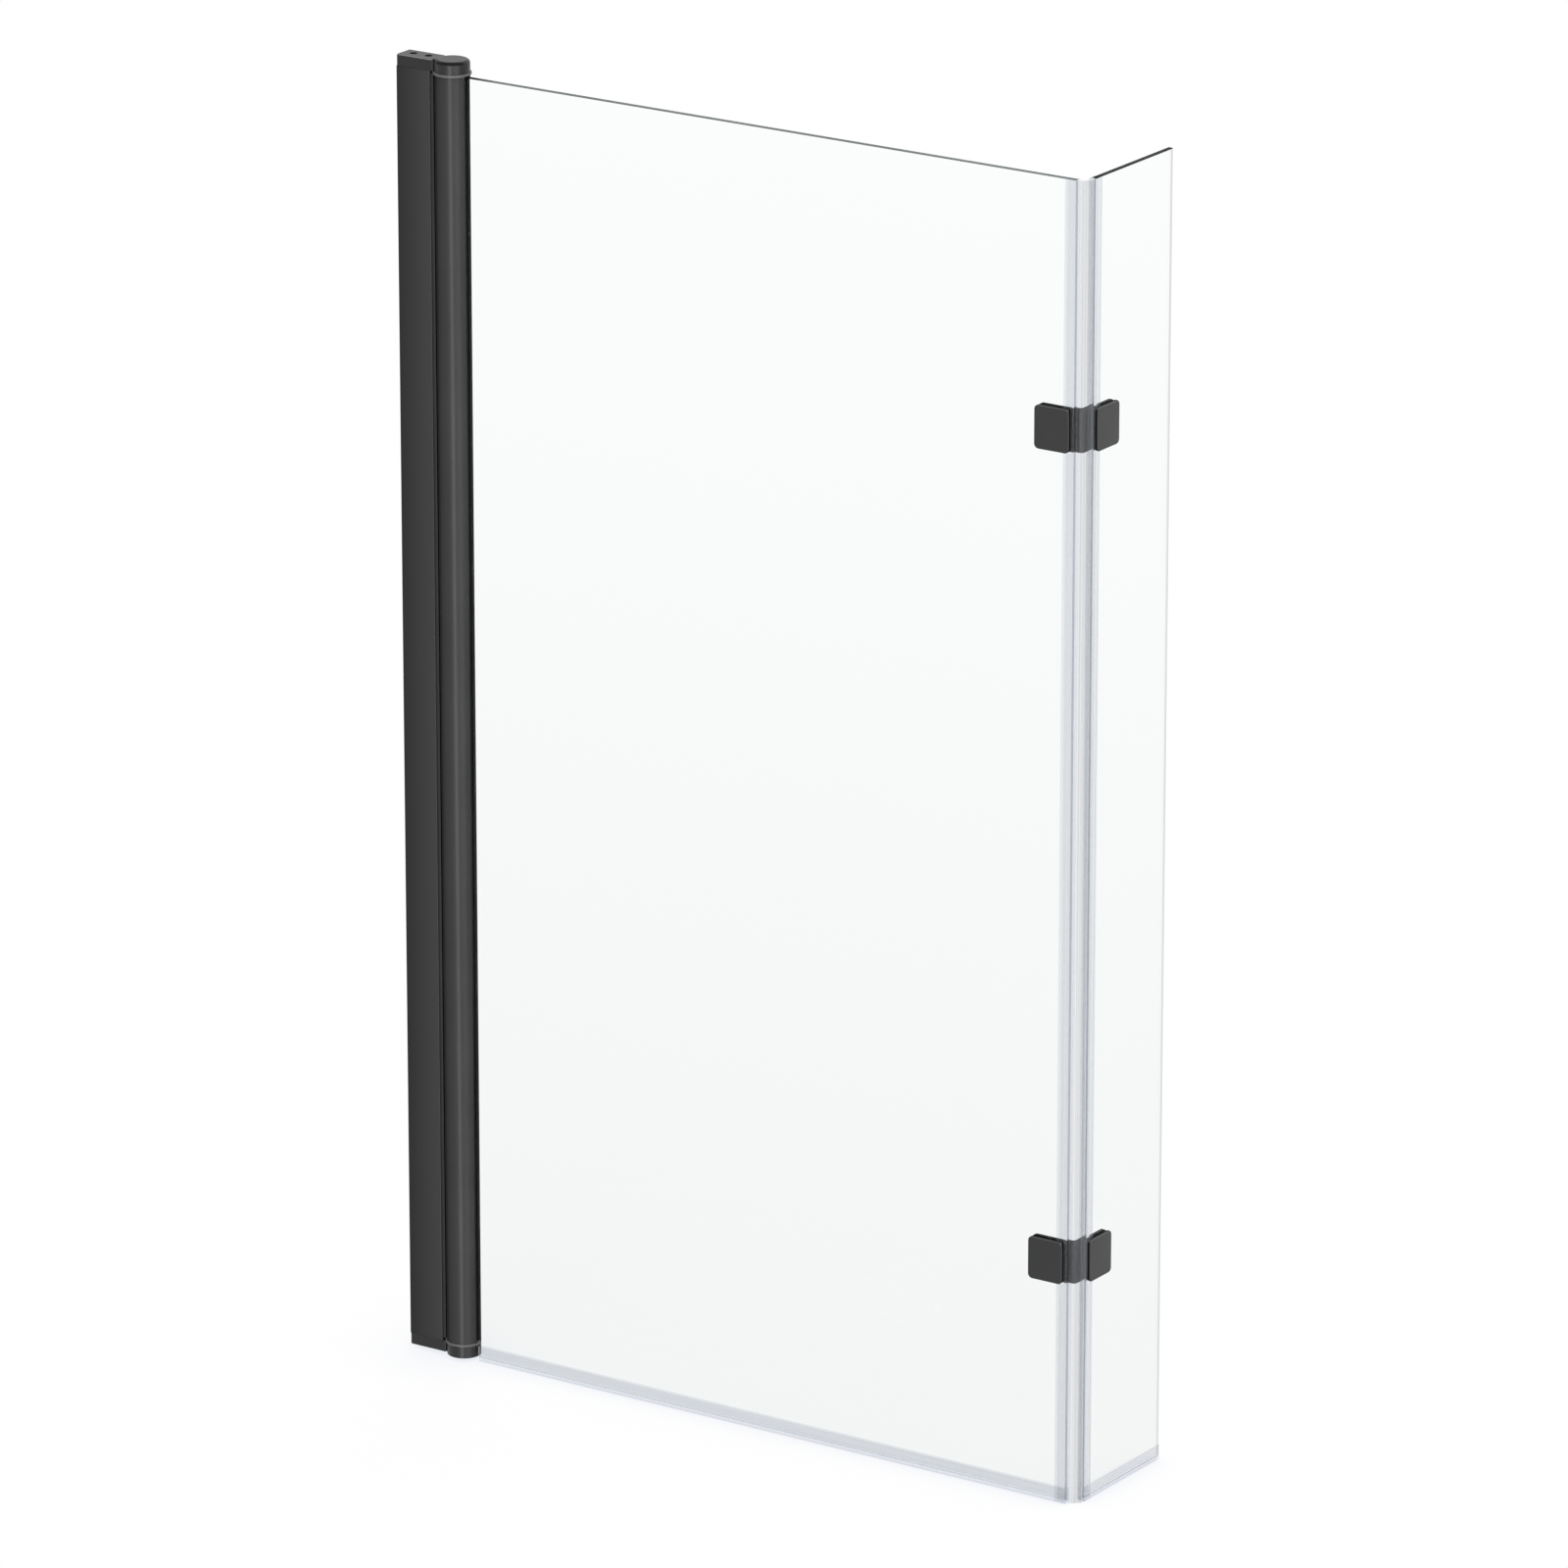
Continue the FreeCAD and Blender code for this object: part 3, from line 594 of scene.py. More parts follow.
# Darker plastic round the rim of the top cap's head: painted shade.
CAP_PAINTED_RIM_SHADE = replace(CAP_PAINTED_HIGHLIGHT, colour=(0.007, 0.007, 0.0071), specular=0.1)
BEARING_PLASTIC = Opaque("bearing_plastic", (0.12, 0.12, 0.123), (0.35, 0.45), 0.2, 0.8 * MM, 0.005 * MM)
NYLON = Opaque("nylon", (0.8, 0.8, 0.77), (0.4, 0.5), 0.4, 0.8 * MM, 0.005 * MM, 0.04)
RUBBER = Opaque("black_rubber", (0.006, 0.006, 0.006), (0.7, 0.85), 0.02, 0.4 * MM, 0.02 * MM, 0.2)
GLAZING_RUBBER = replace(RUBBER, colour=(0.022, 0.022, 0.022), roughness=(0.6, 0.75), specular=0.05)
STEEL = Opaque(
    "steel", (0.555, 0.555, 0.56425), (0.22, 0.38), 0.5, 0.25 * MM, 0.01 * MM, 0.08108,
    detail=2.0, drawn=6.0, pigment=1.0, patch=4 * MM, patch_detail=3.0,
)
GLASS = ToughenedGlass("clear_glass", (0.968, 0.984, 0.984))
UNBENT_GLASS = replace(GLASS, bend=UNBENT_IOR)
DULL_EDGE = GroundEdge("clear_glass", (0.24, 0.25, 0.27), name="dull_edge")
# The main glass's top edge is darker next to the tube: painted shade.
MAIN_TOP_EDGE = replace(
    DULL_EDGE, colour=(0.067, 0.072, 0.0705), name="main_top_edge", unevenness=0.95, painted_shade_span=(90 * MM, 120 * MM)
)
RETURN_TOP_EDGE = replace(DULL_EDGE, colour=(0.006, 0.008, 0.0075), name="return_top_edge")
SIDE_EDGE = replace(DULL_EDGE, colour=(0.98, 0.99, 0.99), name="side_edge", clear=1.0)
ARRIS = replace(SIDE_EDGE, colour=(0.36, 0.37, 0.4), name="arris")
FAR_EDGE = replace(SIDE_EDGE, colour=(0.58, 0.6, 0.6), name="far_edge")
MAIN_WING_VINYL = HazyVinyl("clear_seal", (0.153, 0.159, 0.168), name="main_wing", haze=0.08)
RETURN_WING_VINYL = replace(MAIN_WING_VINYL, name="return_wing", haze=0.12)
INNER_WING_VINYL = replace(MAIN_WING_VINYL, name="inner_wing", haze=0.05)
CORNER_VINYL = CornerVinyl("clear_seal", (0.132, 0.138, 0.147), name="corner", haze=0.18)
MAIN_SEAL_VINYL = ClearVinyl("clear_seal", (0.86, 0.87, 0.89), name="main_seal", axis=Axis.X)
RETURN_SEAL_VINYL = replace(MAIN_SEAL_VINYL, colour=(0.86, 0.865, 0.885), name="return_seal", axis=Axis.Y)
OUTER_LEG_VINYL = replace(RETURN_SEAL_VINYL, colour=(0.83, 0.835, 0.865), name="outer_leg", bend=1.02)
INNER_LEG_VINYL = replace(RETURN_SEAL_VINYL, colour=(0.985, 0.985, 0.99), name="inner_leg", bend=1.01)


@functools.cache
def material_of(finish: Finish) -> bpy.types.Material:
    """The one material of a finish."""
    return finish.material()


def dress(
    node: str, *finishes: Finish, choose: Callable[[Vector, Vector], int] | None = None, shadow: bool = True
) -> None:
    """Gives a CAD node its finish, or its faces different ones.

    Args:
        node: Name of the node.
        *finishes: The finishes.
        choose: Takes the middle and the normal of a face and returns the number of its finish.
        shadow: False for clear pieces, which cast no shadow.
    """
    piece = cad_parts[node]
    piece.data.materials.clear()
    for finish in finishes:
        piece.data.materials.append(material_of(finish))
    piece.visible_shadow = shadow
    turn = piece.matrix_world.to_3x3()
    for face in piece.data.polygons if choose else ():
        face.material_index = choose(piece.matrix_world @ face.center, (turn @ face.normal).normalized())
    LOG.info("dressed %s in %s", node, finishes[0].slot)


def ring(radius: float, count: int, middle: Point = (0.0, 0.0)) -> list[Point]:
    """Points round a circle.

    Args:
        radius: Radius of the circle.
        count: Number of points.
        middle: Middle of the circle.

    Returns:
        The points.
    """
    turns = [math.tau * step / count for step in range(count)]
    return [(middle[0] + radius * math.cos(turn), middle[1] + radius * math.sin(turn)) for turn in turns]


def weld(mesh: bpy.types.Mesh, cuts: Sequence[tuple[Vector, Vector]]) -> None:
    """Joins the points of a mesh that lie on each other, cuts lines round it and turns its faces outwards.

    Args:
        mesh: The mesh.
        cuts: A point in the plane of each line, and the direction across that plane.
    """
    work = bmesh.new()
    work.from_mesh(mesh)
    bmesh.ops.remove_doubles(work, verts=work.verts, dist=SAME_POINT)
    for point, across in cuts:
        parts = [*work.verts, *work.edges, *work.faces]
        bmesh.ops.bisect_plane(work, geom=parts, dist=ON_CUT, plane_co=point, plane_no=across)
    bmesh.ops.recalc_face_normals(work, faces=work.faces)
    work.to_mesh(mesh)
    work.free()


def placed(
    name: str, mesh: bpy.types.Mesh, finish: Finish, body: Body, nodes: Sequence[str], shadow: bool = True
) -> None:
    """Makes a piece of a mesh, in place of CAD nodes.

    Args:
        name: Name of the piece.
        mesh: Its mesh, in the frame's axes.
        finish: Its finish.
        body: The body it moves with.
        nodes: The nodes it stands for.
        shadow: False for clear pieces, which cast no shadow.
    """
    mesh.materials.clear()
    mesh.materials.append(material_of(finish))
    piece = bpy.data.objects.new(name, mesh)
    bpy.context.scene.collection.objects.link(piece)
    piece.visible_shadow = shadow
    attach(piece, body.value)
    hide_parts(*nodes)
    LOG.info("built %s of %d faces in %s", name, len(mesh.polygons), finish.slot)


@dataclass(frozen=True)
class Screw:
    """A screw with a recess in its head and a rolled thread. Its tip is at the origin, its head at +Z.

    Attributes:
        drive: Shape of the recess.
        recess: Reach and depth of the recess.
        head: Rings of the head from its top down, as (radius, height above the shank).
        shank: Radius and length of the shank.
        thread: Pitch and depth of the thread.
        arm: Half the width of a cross's arm, as a share of its reach.
        cross_floor: Reach of a cross at its floor, as a share of that at its rim.
        sides: Number of points round it.
        steps: Number of rings to one turn of the thread.
    """

    drive: Drive
    recess: tuple[float, float]
    head: Sequence[Point]
    shank: tuple[float, float]
    thread: tuple[float, float]
    arm: float = 0.24
    cross_floor: float = 0.34
    sides: int = 36
    steps: int = 5

    def rim(self) -> list[Vector]:
        """Outline of the recess.

        Returns:
            Points round it.
        """
        reach = self.recess[0]
        if self.drive is Drive.HEXAGON:
            corners = [Vector((x, y, 0.0)) for x, y in ring(reach, 6)]
        else:
            arm = self.arm * reach
            quarter = [Vector((reach, -arm, 0.0)), Vector((reach, arm, 0.0)), Vector((arm, arm, 0.0))]
            turns = [Matrix.Rotation(math.tau * step / 4, 3, "Z") for step in range(4)]
            corners = [turn @ corner for turn in turns for corner in quarter]
        count = self.sides // len(corners)
        ends = corners[1:] + corners[:1]
        return [start.lerp(end, step / count) for start, end in zip(corners, ends) for step in range(count)]

    def rings(self) -> list[list[Vector]]:
        """Rings of points from the floor of the recess over the head to the tip.

        Returns:
            The rings.
        """
        rim = self.rim()
        turns = [math.atan2(point.y, point.x) for point in rim]
        reach, depth = self.recess
        radius, length = self.shank
        top = length + self.head[0][1]
        floor_r = self.cross_floor * reach if self.drive is Drive.CROSS else reach
        rows = [
            ([min(point.length, floor_r) for point in rim], top - depth),
            ([point.length for point in rim], top),
        ]
        rows += [([size] * self.sides, length + height) for size, height in self.head]
        pitch, groove = self.thread
        count = round(length / pitch * self.steps)
        for step in range(count + 1):
            height = length * (1 - step / count)
            fade = min(1.0, step / self.steps, (count - step) / self.steps)
            crests = [1 - abs(2 * ((height / pitch + turn / math.tau) % 1) - 1) for turn in turns]
            rows.append(([radius - groove * (1 - crest * fade) for crest in crests], height))
        ways = [Vector((math.cos(turn), math.sin(turn), 0.0)) for turn in turns]
        return [[size * way + height * Axis.Z.way for size, way in zip(row, ways)] for row, height in rows]

    def build(self, node: str, body: Body, tips: Sequence[tuple[Vector, Vector]]) -> None:
        """Builds all the screws of a CAD node.

        Args:
            node: The node.
            body: The body it moves with.
            tips: Tip of each screw, and the direction of its head.
        """
        work = bmesh.new()
        for tip, towards in tips:
            place = Matrix.Translation(tip) @ towards.to_track_quat("Z", "Y").to_matrix().to_4x4()
            loops = [[work.verts.new(place @ point) for point in points] for points in self.rings()]
            for upper, lower in zip(loops, loops[1:]):
                for at in range(self.sides):
                    work.faces.new((upper[at - 1], upper[at], lower[at], lower[at - 1]))
            work.faces.new(loops[0])
            work.faces.new(loops[-1])
        bmesh.ops.recalc_face_normals(work, faces=work.faces)
        mesh = bpy.data.meshes.new(node)
        work.to_mesh(mesh)
        work.free()
        mesh.polygons.foreach_set("use_smooth", [True] * len(mesh.polygons))
        mesh.set_sharp_from_angle(angle=SHARP)
        placed(f"{node}_threaded", mesh, STEEL, body, (node,))


PAN_HEAD = tuple(
    (radius * MM, height * MM)
    for radius, height in ((2.45, 2.4), (2.75, 2.22), (3.45, 1.52), (3.58, 1.3), (3.58, 0.08), (3.5, 0.0))
)
SUNK_HEAD = tuple((radius * MM, height * MM) for radius, height in ((4.7, 2.5), (4.93, 2.44), (2.5, 0.01)))
CAP_SCREW = Screw(Drive.CROSS, (1.9 * MM, 1.6 * MM), PAN_HEAD, (1.9 * MM, 21.0 * MM), (1.4 * MM, 0.42 * MM))
POST_SCREW = replace(CAP_SCREW, shank=(2.0 * MM, 9.0 * MM))
BRACKET_SCREW = Screw(
    Drive.HEXAGON, (1.73 * MM, 1.9 * MM), SUNK_HEAD, (2.5 * MM, 6.9 * MM), (0.8 * MM, 0.4 * MM)
)


@dataclass
class WallPost:
    """The fixed side: channel, post, caps, pins and bearings.

    Attributes:
        head_r: Radius of the screw heads.
        rounded: Least and greatest upward part of the normals on the top cap's rounded edges.
        front: Greatest Y of the normals on the front of those edges.
    """

    head_r: float = 3.6 * MM
    rounded: Span = (0.2, 0.97)
    front: float = -0.2

    def dress_top_cap(self) -> None:
        """Dresses the top cap: painted highlight on the block's upper front edge, painted shade round the
        head.
        """
        head_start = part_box("hinge_tube")[0].x

        def choose(middle: Vector, normal: Vector) -> int:
            """1 for the painted highlight on the block's edge, 2 for the painted shade on the head's rim, 0
            elsewhere.
            """
            edge = normal.y <= self.front and self.rounded[0] < normal.z < self.rounded[1]
            return 0 if not edge else 1 if middle.x < head_start else 2

        dress("top_cap", CAP_PLASTIC, CAP_PAINTED_HIGHLIGHT, CAP_PAINTED_RIM_SHADE, choose=choose)

    def build_cap_screws(self, end: str) -> None:
        """Builds the two screws of a cap, with their heads outwards.

        Args:
            end: "top" or "bottom".
        """
        node = f"{end}_cap_screws"
        low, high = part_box(node)
        tip, outwards = (low.z, Axis.Z.way) if end == "top" else (high.z, -Axis.Z.way)
        middle = (low.y + high.y) / 2
        rows = (low.x + self.head_r, high.x - self.head_r)
        CAP_SCREW.build(node, Body.WALL_SIDE, [(Vector((x, middle, tip)), outwards) for x in rows])

    def build_post_screws(self) -> None:
        """Builds the three screws through the side of the channel."""
        node = "post_fixing_screws"
        low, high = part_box(node)
        middle = (low.x + high.x) / 2
        heights = (low.z + self.head_r, (low.z + high.z) / 2, high.z - self.head_r)
        tips = [(Vector((middle, low.y, height)), Axis.Y.way) for height in heights]
        POST_SCREW.build(node, Body.WALL_SIDE, tips)

    def build(self) -> None:
        """Dresses the pieces."""
        dress("wall_channel", CHANNEL_COAT)
        dress("pivot_post", POWDER_COAT)
        self.dress_top_cap()
        dress("bottom_cap", CAP_PLASTIC)
        for end in ("top", "bottom"):
            dress(f"{end}_bearing_washer", BEARING_PLASTIC)
            dress(f"{end}_pivot_pin", STEEL)
            self.build_cap_screws(end)
        dress("hinge_wiper_seal", RUBBER)
        self.build_post_screws()


@dataclass(frozen=True)
class Strip:
    """A strip of a sheet's broad face that doesn't bend the view, so that no edge is mirrored in it.

    Attributes:
        side: 1 for the outer face and -1 for the inner one.
        start: Where it begins along the sheet.
        end: Where it ends.
    """

    side: int
    start: float
    end: float


@dataclass
class Pane:
    """A sheet of glass with ground edges, in place of its CAD node.

    Attributes:
        node: The CAD node.
        facing: Axis through the sheet.
        outline: Corners in the plane of the sheet, as (along, up).
        holes: Middles of the bracket holes.
        top_edge: Finish of the upper edge.
        low_edge: Finish of the outer part of the lower edge.
        hole_r: Radius of the holes.
        hole_sides: Number of points round a hole.
        ease: How far every face stays inside the CAD solid, off the seals.
        arris: Width of the ground edge.
        line: Width of the strip beside the outer face that shows as a line on the narrow faces.
        far_edge: Finish of the inner part of the edge at the far end.
        unbent: Strips of the broad faces that don't bend the view.
    """

    node: str
    facing: Axis
    outline: Sequence[Point]
    holes: Sequence[Point]
    top_edge: Finish
    low_edge: Finish
    hole_r: float = 6.5 * MM
    hole_sides: int = 48
    ease: float = 0.06 * MM
    arris: float = 0.7 * MM
    line: float = 2.2 * MM
    far_edge: Finish = SIDE_EDGE
    unbent: Sequence[Strip] = ()

    @property
    def along(self) -> Vector:
        """Direction from the near end to the far end."""
        return Axis.X.way if self.facing is Axis.Y else Axis.Y.way

    @property
    def outwards(self) -> Vector:
        """Direction from the inner face to the outer one."""
        return -Axis.Y.way if self.facing is Axis.Y else Axis.X.way

    def build(self) -> None:
        """Builds the sheet and gives its faces their finishes."""
        low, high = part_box(self.node)
        across = self.facing.value
        half = (high[across] - low[across]) / 2 - self.ease
        middle = self.facing.way * (low[across] + high[across]) / 2
        turn = Matrix((self.along, Axis.Z.way, self.outwards)).transposed()
        mesh = self.flat_sheet(half)
        mesh.transform(Matrix.Translation(middle) @ turn.to_4x4())
        cut = middle + self.outwards * (half - self.arris - self.line)
        ends = [place for strip in self.unbent for place in (strip.start, strip.end)]
        weld(mesh, [(cut, self.outwards), *((self.along * end, self.along) for end in ends)])
        placed(f"{self.node}_sheet", mesh, GLASS, Body.SCREEN, (self.node,), shadow=False)
        for finish in (self.top_edge, self.low_edge, SIDE_EDGE, ARRIS, UNBENT_GLASS, self.far_edge):
            mesh.materials.append(material_of(finish))
        for face in mesh.polygons:
            face.material_index = self.kind_of(face, cut)

    def flat_sheet(self, half: float) -> bpy.types.Mesh:
        """Makes the sheet in its own plane.

        Args:
            half: Half its thickness.

        Returns:
            The mesh.
        """
        curve = bpy.data.curves.new(self.node, "CURVE")
        curve.dimensions = "2D"
        curve.fill_mode = "BOTH"
        curve.extrude = half - self.arris
        curve.bevel_depth = self.arris
        curve.bevel_resolution = 0
        curve.offset = -self.arris - self.ease
        for points in (self.outline, *(ring(self.hole_r, self.hole_sides, middle) for middle in self.holes)):
            spline = curve.splines.new("POLY")
            spline.points.add(len(points) - 1)
            for point, (along, up) in zip(spline.points, points):
                point.co = (along, up, 0.0, 1.0)
            spline.use_cyclic_u = True
        source = bpy.data.objects.new("outline", curve)
        mesh = bpy.data.meshes.new_from_object(source)
        bpy.data.objects.remove(source)
        return mesh

    def kind_of(self, face: bpy.types.MeshPolygon, cut: Vector) -> SheetFace:
        """Tells what part of the sheet a face is.

        Args:
            face: The face.
            cut: A point where the strip beside the outer face begins.

        Returns:
            Its kind.
        """
        outside = (face.center - cut).dot(self.outwards) > 0
        facing = face.normal.dot(self.outwards)
        if face.normal.z > STEEP:
            return SheetFace.TOP
        if face.normal.z < -STEEP:
            return SheetFace.LOW if outside else SheetFace.SIDE
        if abs(facing) < SQUARE:
            inner = SheetFace.FAR if face.normal.dot(self.along) > STEEP else SheetFace.SIDE
            return SheetFace.LINE if outside else inner
        place = face.center.dot(self.along)
        strips = [strip for strip in self.unbent if strip.side * facing > 0]
        return SheetFace.UNBENT if any(at.start < place < at.end for at in strips) else SheetFace.BROAD


@dataclass
class HingedScreen:
    """The moving side: tube, glass and seals.

    Attributes:
        notch: Width and height of the corner cut from the main glass.
        notch_r: Radius inside that cut.
        notch_steps: Number of steps round that radius.
        tube_strip: Width of the main glass by the tube that doesn't bend the view.
        main_strip: The same on its inner face at the corner.
        return_strip: The same on the inner face of the return.
        return_line: Width of the line on the narrow faces of the return.
        leg_start: Height above the edge of the return glass where the legs of its bottom seal begin.
    """

    notch: tuple[float, float] = (13.2 * MM, 16.6 * MM)
    notch_r: float = 3.0 * MM
    notch_steps: int = 6
    tube_strip: float = 16 * MM
    main_strip: float = 5 * MM
    return_strip: float = 10 * MM
    return_line: float = 1.0 * MM
    leg_start: float = 0.1 * MM

    @staticmethod
    def holes(panel: str, along: Axis) -> list[Point]:
        """Middles of a panel's bracket holes, behind the middles of its plates.

        Args:
            panel: "main" or "return".
            along: Axis along the panel.

        Returns:
            The middles, as (along, up).
        """
        boxes = [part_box(f"{bracket}_{panel}_plate") for bracket in ("upper", "lower")]
        middles = [(low + high) / 2 for low, high in boxes]
        return [(middle[along.value], middle.z) for middle in middles]

    def build_main_glass(self) -> None:
        """Builds the main sheet, with a corner cut out round the bottom cap."""
        low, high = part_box("main_glass")
        inner_x, inner_z = low.x + self.notch[0], low.z + self.notch[1]
        middle = (inner_x - self.notch_r, inner_z - self.notch_r)
        curve = ring(self.notch_r, 4 * self.notch_steps, middle)[self.notch_steps::-1]
        outline = [(low.x, high.z), (low.x, inner_z), *curve]
        outline += [(inner_x, low.z), (high.x, low.z), (high.x, high.z)]
        by_tube = low.x + self.tube_strip
        by_corner = high.x - self.main_strip
        strips = (Strip(1, low.x, by_tube), Strip(-1, low.x, by_tube), Strip(-1, by_corner, high.x))
        holes = self.holes("main", Axis.X)
        Pane("main_glass", Axis.Y, outline, holes, MAIN_TOP_EDGE, SIDE_EDGE, unbent=strips).build()

    def build_return_glass(self) -> None:
        """Builds the return sheet."""
        low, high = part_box("return_glass")
        outline = [(low.y, high.z), (low.y, low.z), (high.y, low.z), (high.y, high.z)]
        pane = Pane("return_glass", Axis.X, outline, self.holes("return", Axis.Y), RETURN_TOP_EDGE, DULL_EDGE)
        pane.line = self.return_line
        pane.far_edge = FAR_EDGE
        pane.unbent = (Strip(-1, low.y, low.y + self.return_strip),)
        pane.build()

    @staticmethod
    def dress_corner() -> None:
        """Dresses the corner seal, hazier between the two panels."""
        reach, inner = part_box("main_glass")[1].x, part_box("return_glass")[0]

        def choose(middle: Vector, normal: Vector) -> int:
            """0 on the main panel, 1 between the panels, and 2 outside and 3 inside the return."""
            on_return = 2 if middle.x > inner.x else 3
            return 0 if middle.x < reach else 1 if middle.y < inner.y else on_return

        finishes = (MAIN_WING_VINYL, CORNER_VINYL, RETURN_WING_VINYL, INNER_WING_VINYL)
        dress("corner_seal", *finishes, choose=choose, shadow=False)

    def dress_return_seal(self) -> None:
        """Dresses the seal under the return, whose outer leg is the hazier one."""
        low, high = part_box("return_glass")
        base = low.z + self.leg_start

        def choose(middle: Vector, normal: Vector) -> int:
            """0 below the glass, 1 on the outer leg and 2 on the inner one."""
            return 0 if middle.z < base else 1 if middle.x > (low.x + high.x) / 2 else 2

        dress("return_bottom_seal", RETURN_SEAL_VINYL, OUTER_LEG_VINYL, INNER_LEG_VINYL, choose=choose)

    def build(self) -> None:
        """Dresses the pieces."""
        dress("hinge_tube", POWDER_COAT)
        for end in ("top", "bottom"):
            dress(f"{end}_bush", NYLON)
        for side in ("front", "rear"):
            dress(f"{side}_glazing_gasket", GLAZING_RUBBER)
        self.build_main_glass()
        self.build_return_glass()
        self.dress_corner()
        dress("main_bottom_seal", MAIN_SEAL_VINYL)
        self.dress_return_seal()


@dataclass
class GlassBracket:
    """One bracket between the two panels.

    Attributes:
        name: "upper" or "lower".
        head_r: Radius of the screw heads.
        corner_side: Least part of the normals towards the corner on the plates' sides there, where shade is
            painted.
        chamfer: Least and greatest upward part of the normals on the plates' upper edges, where a highlight
            is painted.
    """

    name: str
    head_r: float = 5.0 * MM
    corner_side: float = 0.8
    chamfer: Span = (0.3, 0.9)

    def build_screws(self) -> None:
        """Builds the screw of each panel, with its head on the inner side."""
        node = f"{self.name}_bracket_screws"
        low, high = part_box(node)
        middle = (low.z + high.z) / 2
        tips = [
            (Vector((low.x + self.head_r, low.y, middle)), Axis.Y.way),
            (Vector((high.x, high.y - self.head_r, middle)), -Axis.X.way),
        ]
        BRACKET_SCREW.build(node, Body.SCREEN, tips)

    def dress_plate(self, panel: str, inside: Vector) -> None:
        """Dresses the plate on a panel: painted shade on its corner side, a painted highlight on its upper
        edge.

        Args:
            panel: "main" or "return".
            inside: Direction towards the corner.
        """
        least, most = self.chamfer

        def choose(middle: Vector, normal: Vector) -> int:
            """1 for painted shade on the side towards the corner, 2 for a painted highlight on the upper
            edge, 0 elsewhere.
            """
            return 1 if normal.dot(inside) > self.corner_side else 2 if least < normal.z < most else 0

        dress(f"{self.name}_{panel}_plate", POWDER_COAT, SHADED_COAT, PAINTED_HIGHLIGHT_COAT, choose=choose)

    def build(self) -> None:
        """Dresses the pieces."""
        dress(f"{self.name}_bracket_body", POWDER_COAT)
        self.dress_plate("main", Axis.X.way)
        self.dress_plate("return", -Axis.Y.way)
        dress(f"{self.name}_bracket_gaskets", RUBBER)
        dress(f"{self.name}_bracket_sleeves", NYLON)
        self.build_screws()


@dataclass
class Lamp:
    """A soft box.

    Attributes:
        name: Name of the lamp.
        azimuth: Degrees from -Y towards +X.
        elevation: Degrees above the horizon.
        distance: Distance from the point that it faces.
        width: Width of the box.
        height: Height of the box.
        power: Watts.
        beam: Angle of the light cone in degrees.
        mirrored: Whether glossy surfaces and glass show it.
        aim: Point that it faces.
    """

    name: str
    azimuth: float
    elevation: float
    distance: float
    width: float
    height: float
    power: float
    beam: float = 180.0
    mirrored: bool = True
    aim: Place = (SCREEN_MIDDLE, 0.0, 0.0)

    def build(self) -> None:
        """Adds the light."""
        data = bpy.data.lights.new(self.name, "AREA")
        data.shape = "RECTANGLE"
        data.size = self.width
        data.size_y = self.height
        data.energy = self.power
        data.spread = math.radians(self.beam)
        light = bpy.data.objects.new(self.name, data)
        towards = direction(self.azimuth, self.elevation)
        light.location = Vector(self.aim) + towards * self.distance
        light.rotation_mode = "QUATERNION"
        light.rotation_quaternion = (-towards).to_track_quat("-Z", "Y")
        light.visible_camera = False
        light.visible_glossy = self.mirrored
        light.visible_transmission = self.mirrored
        bpy.context.scene.collection.objects.link(light)


def direction(azimuth: float, elevation: float) -> Vector:
    """The direction from the object to a place round it.

    Args:
        azimuth: Degrees from -Y towards +X.
        elevation: Degrees above the horizon.

    Returns:
        The unit vector.
    """
    turn, rise = math.radians(azimuth), math.radians(elevation)
    return Vector((math.sin(turn) * math.cos(rise), -math.cos(turn) * math.cos(rise), math.sin(rise)))


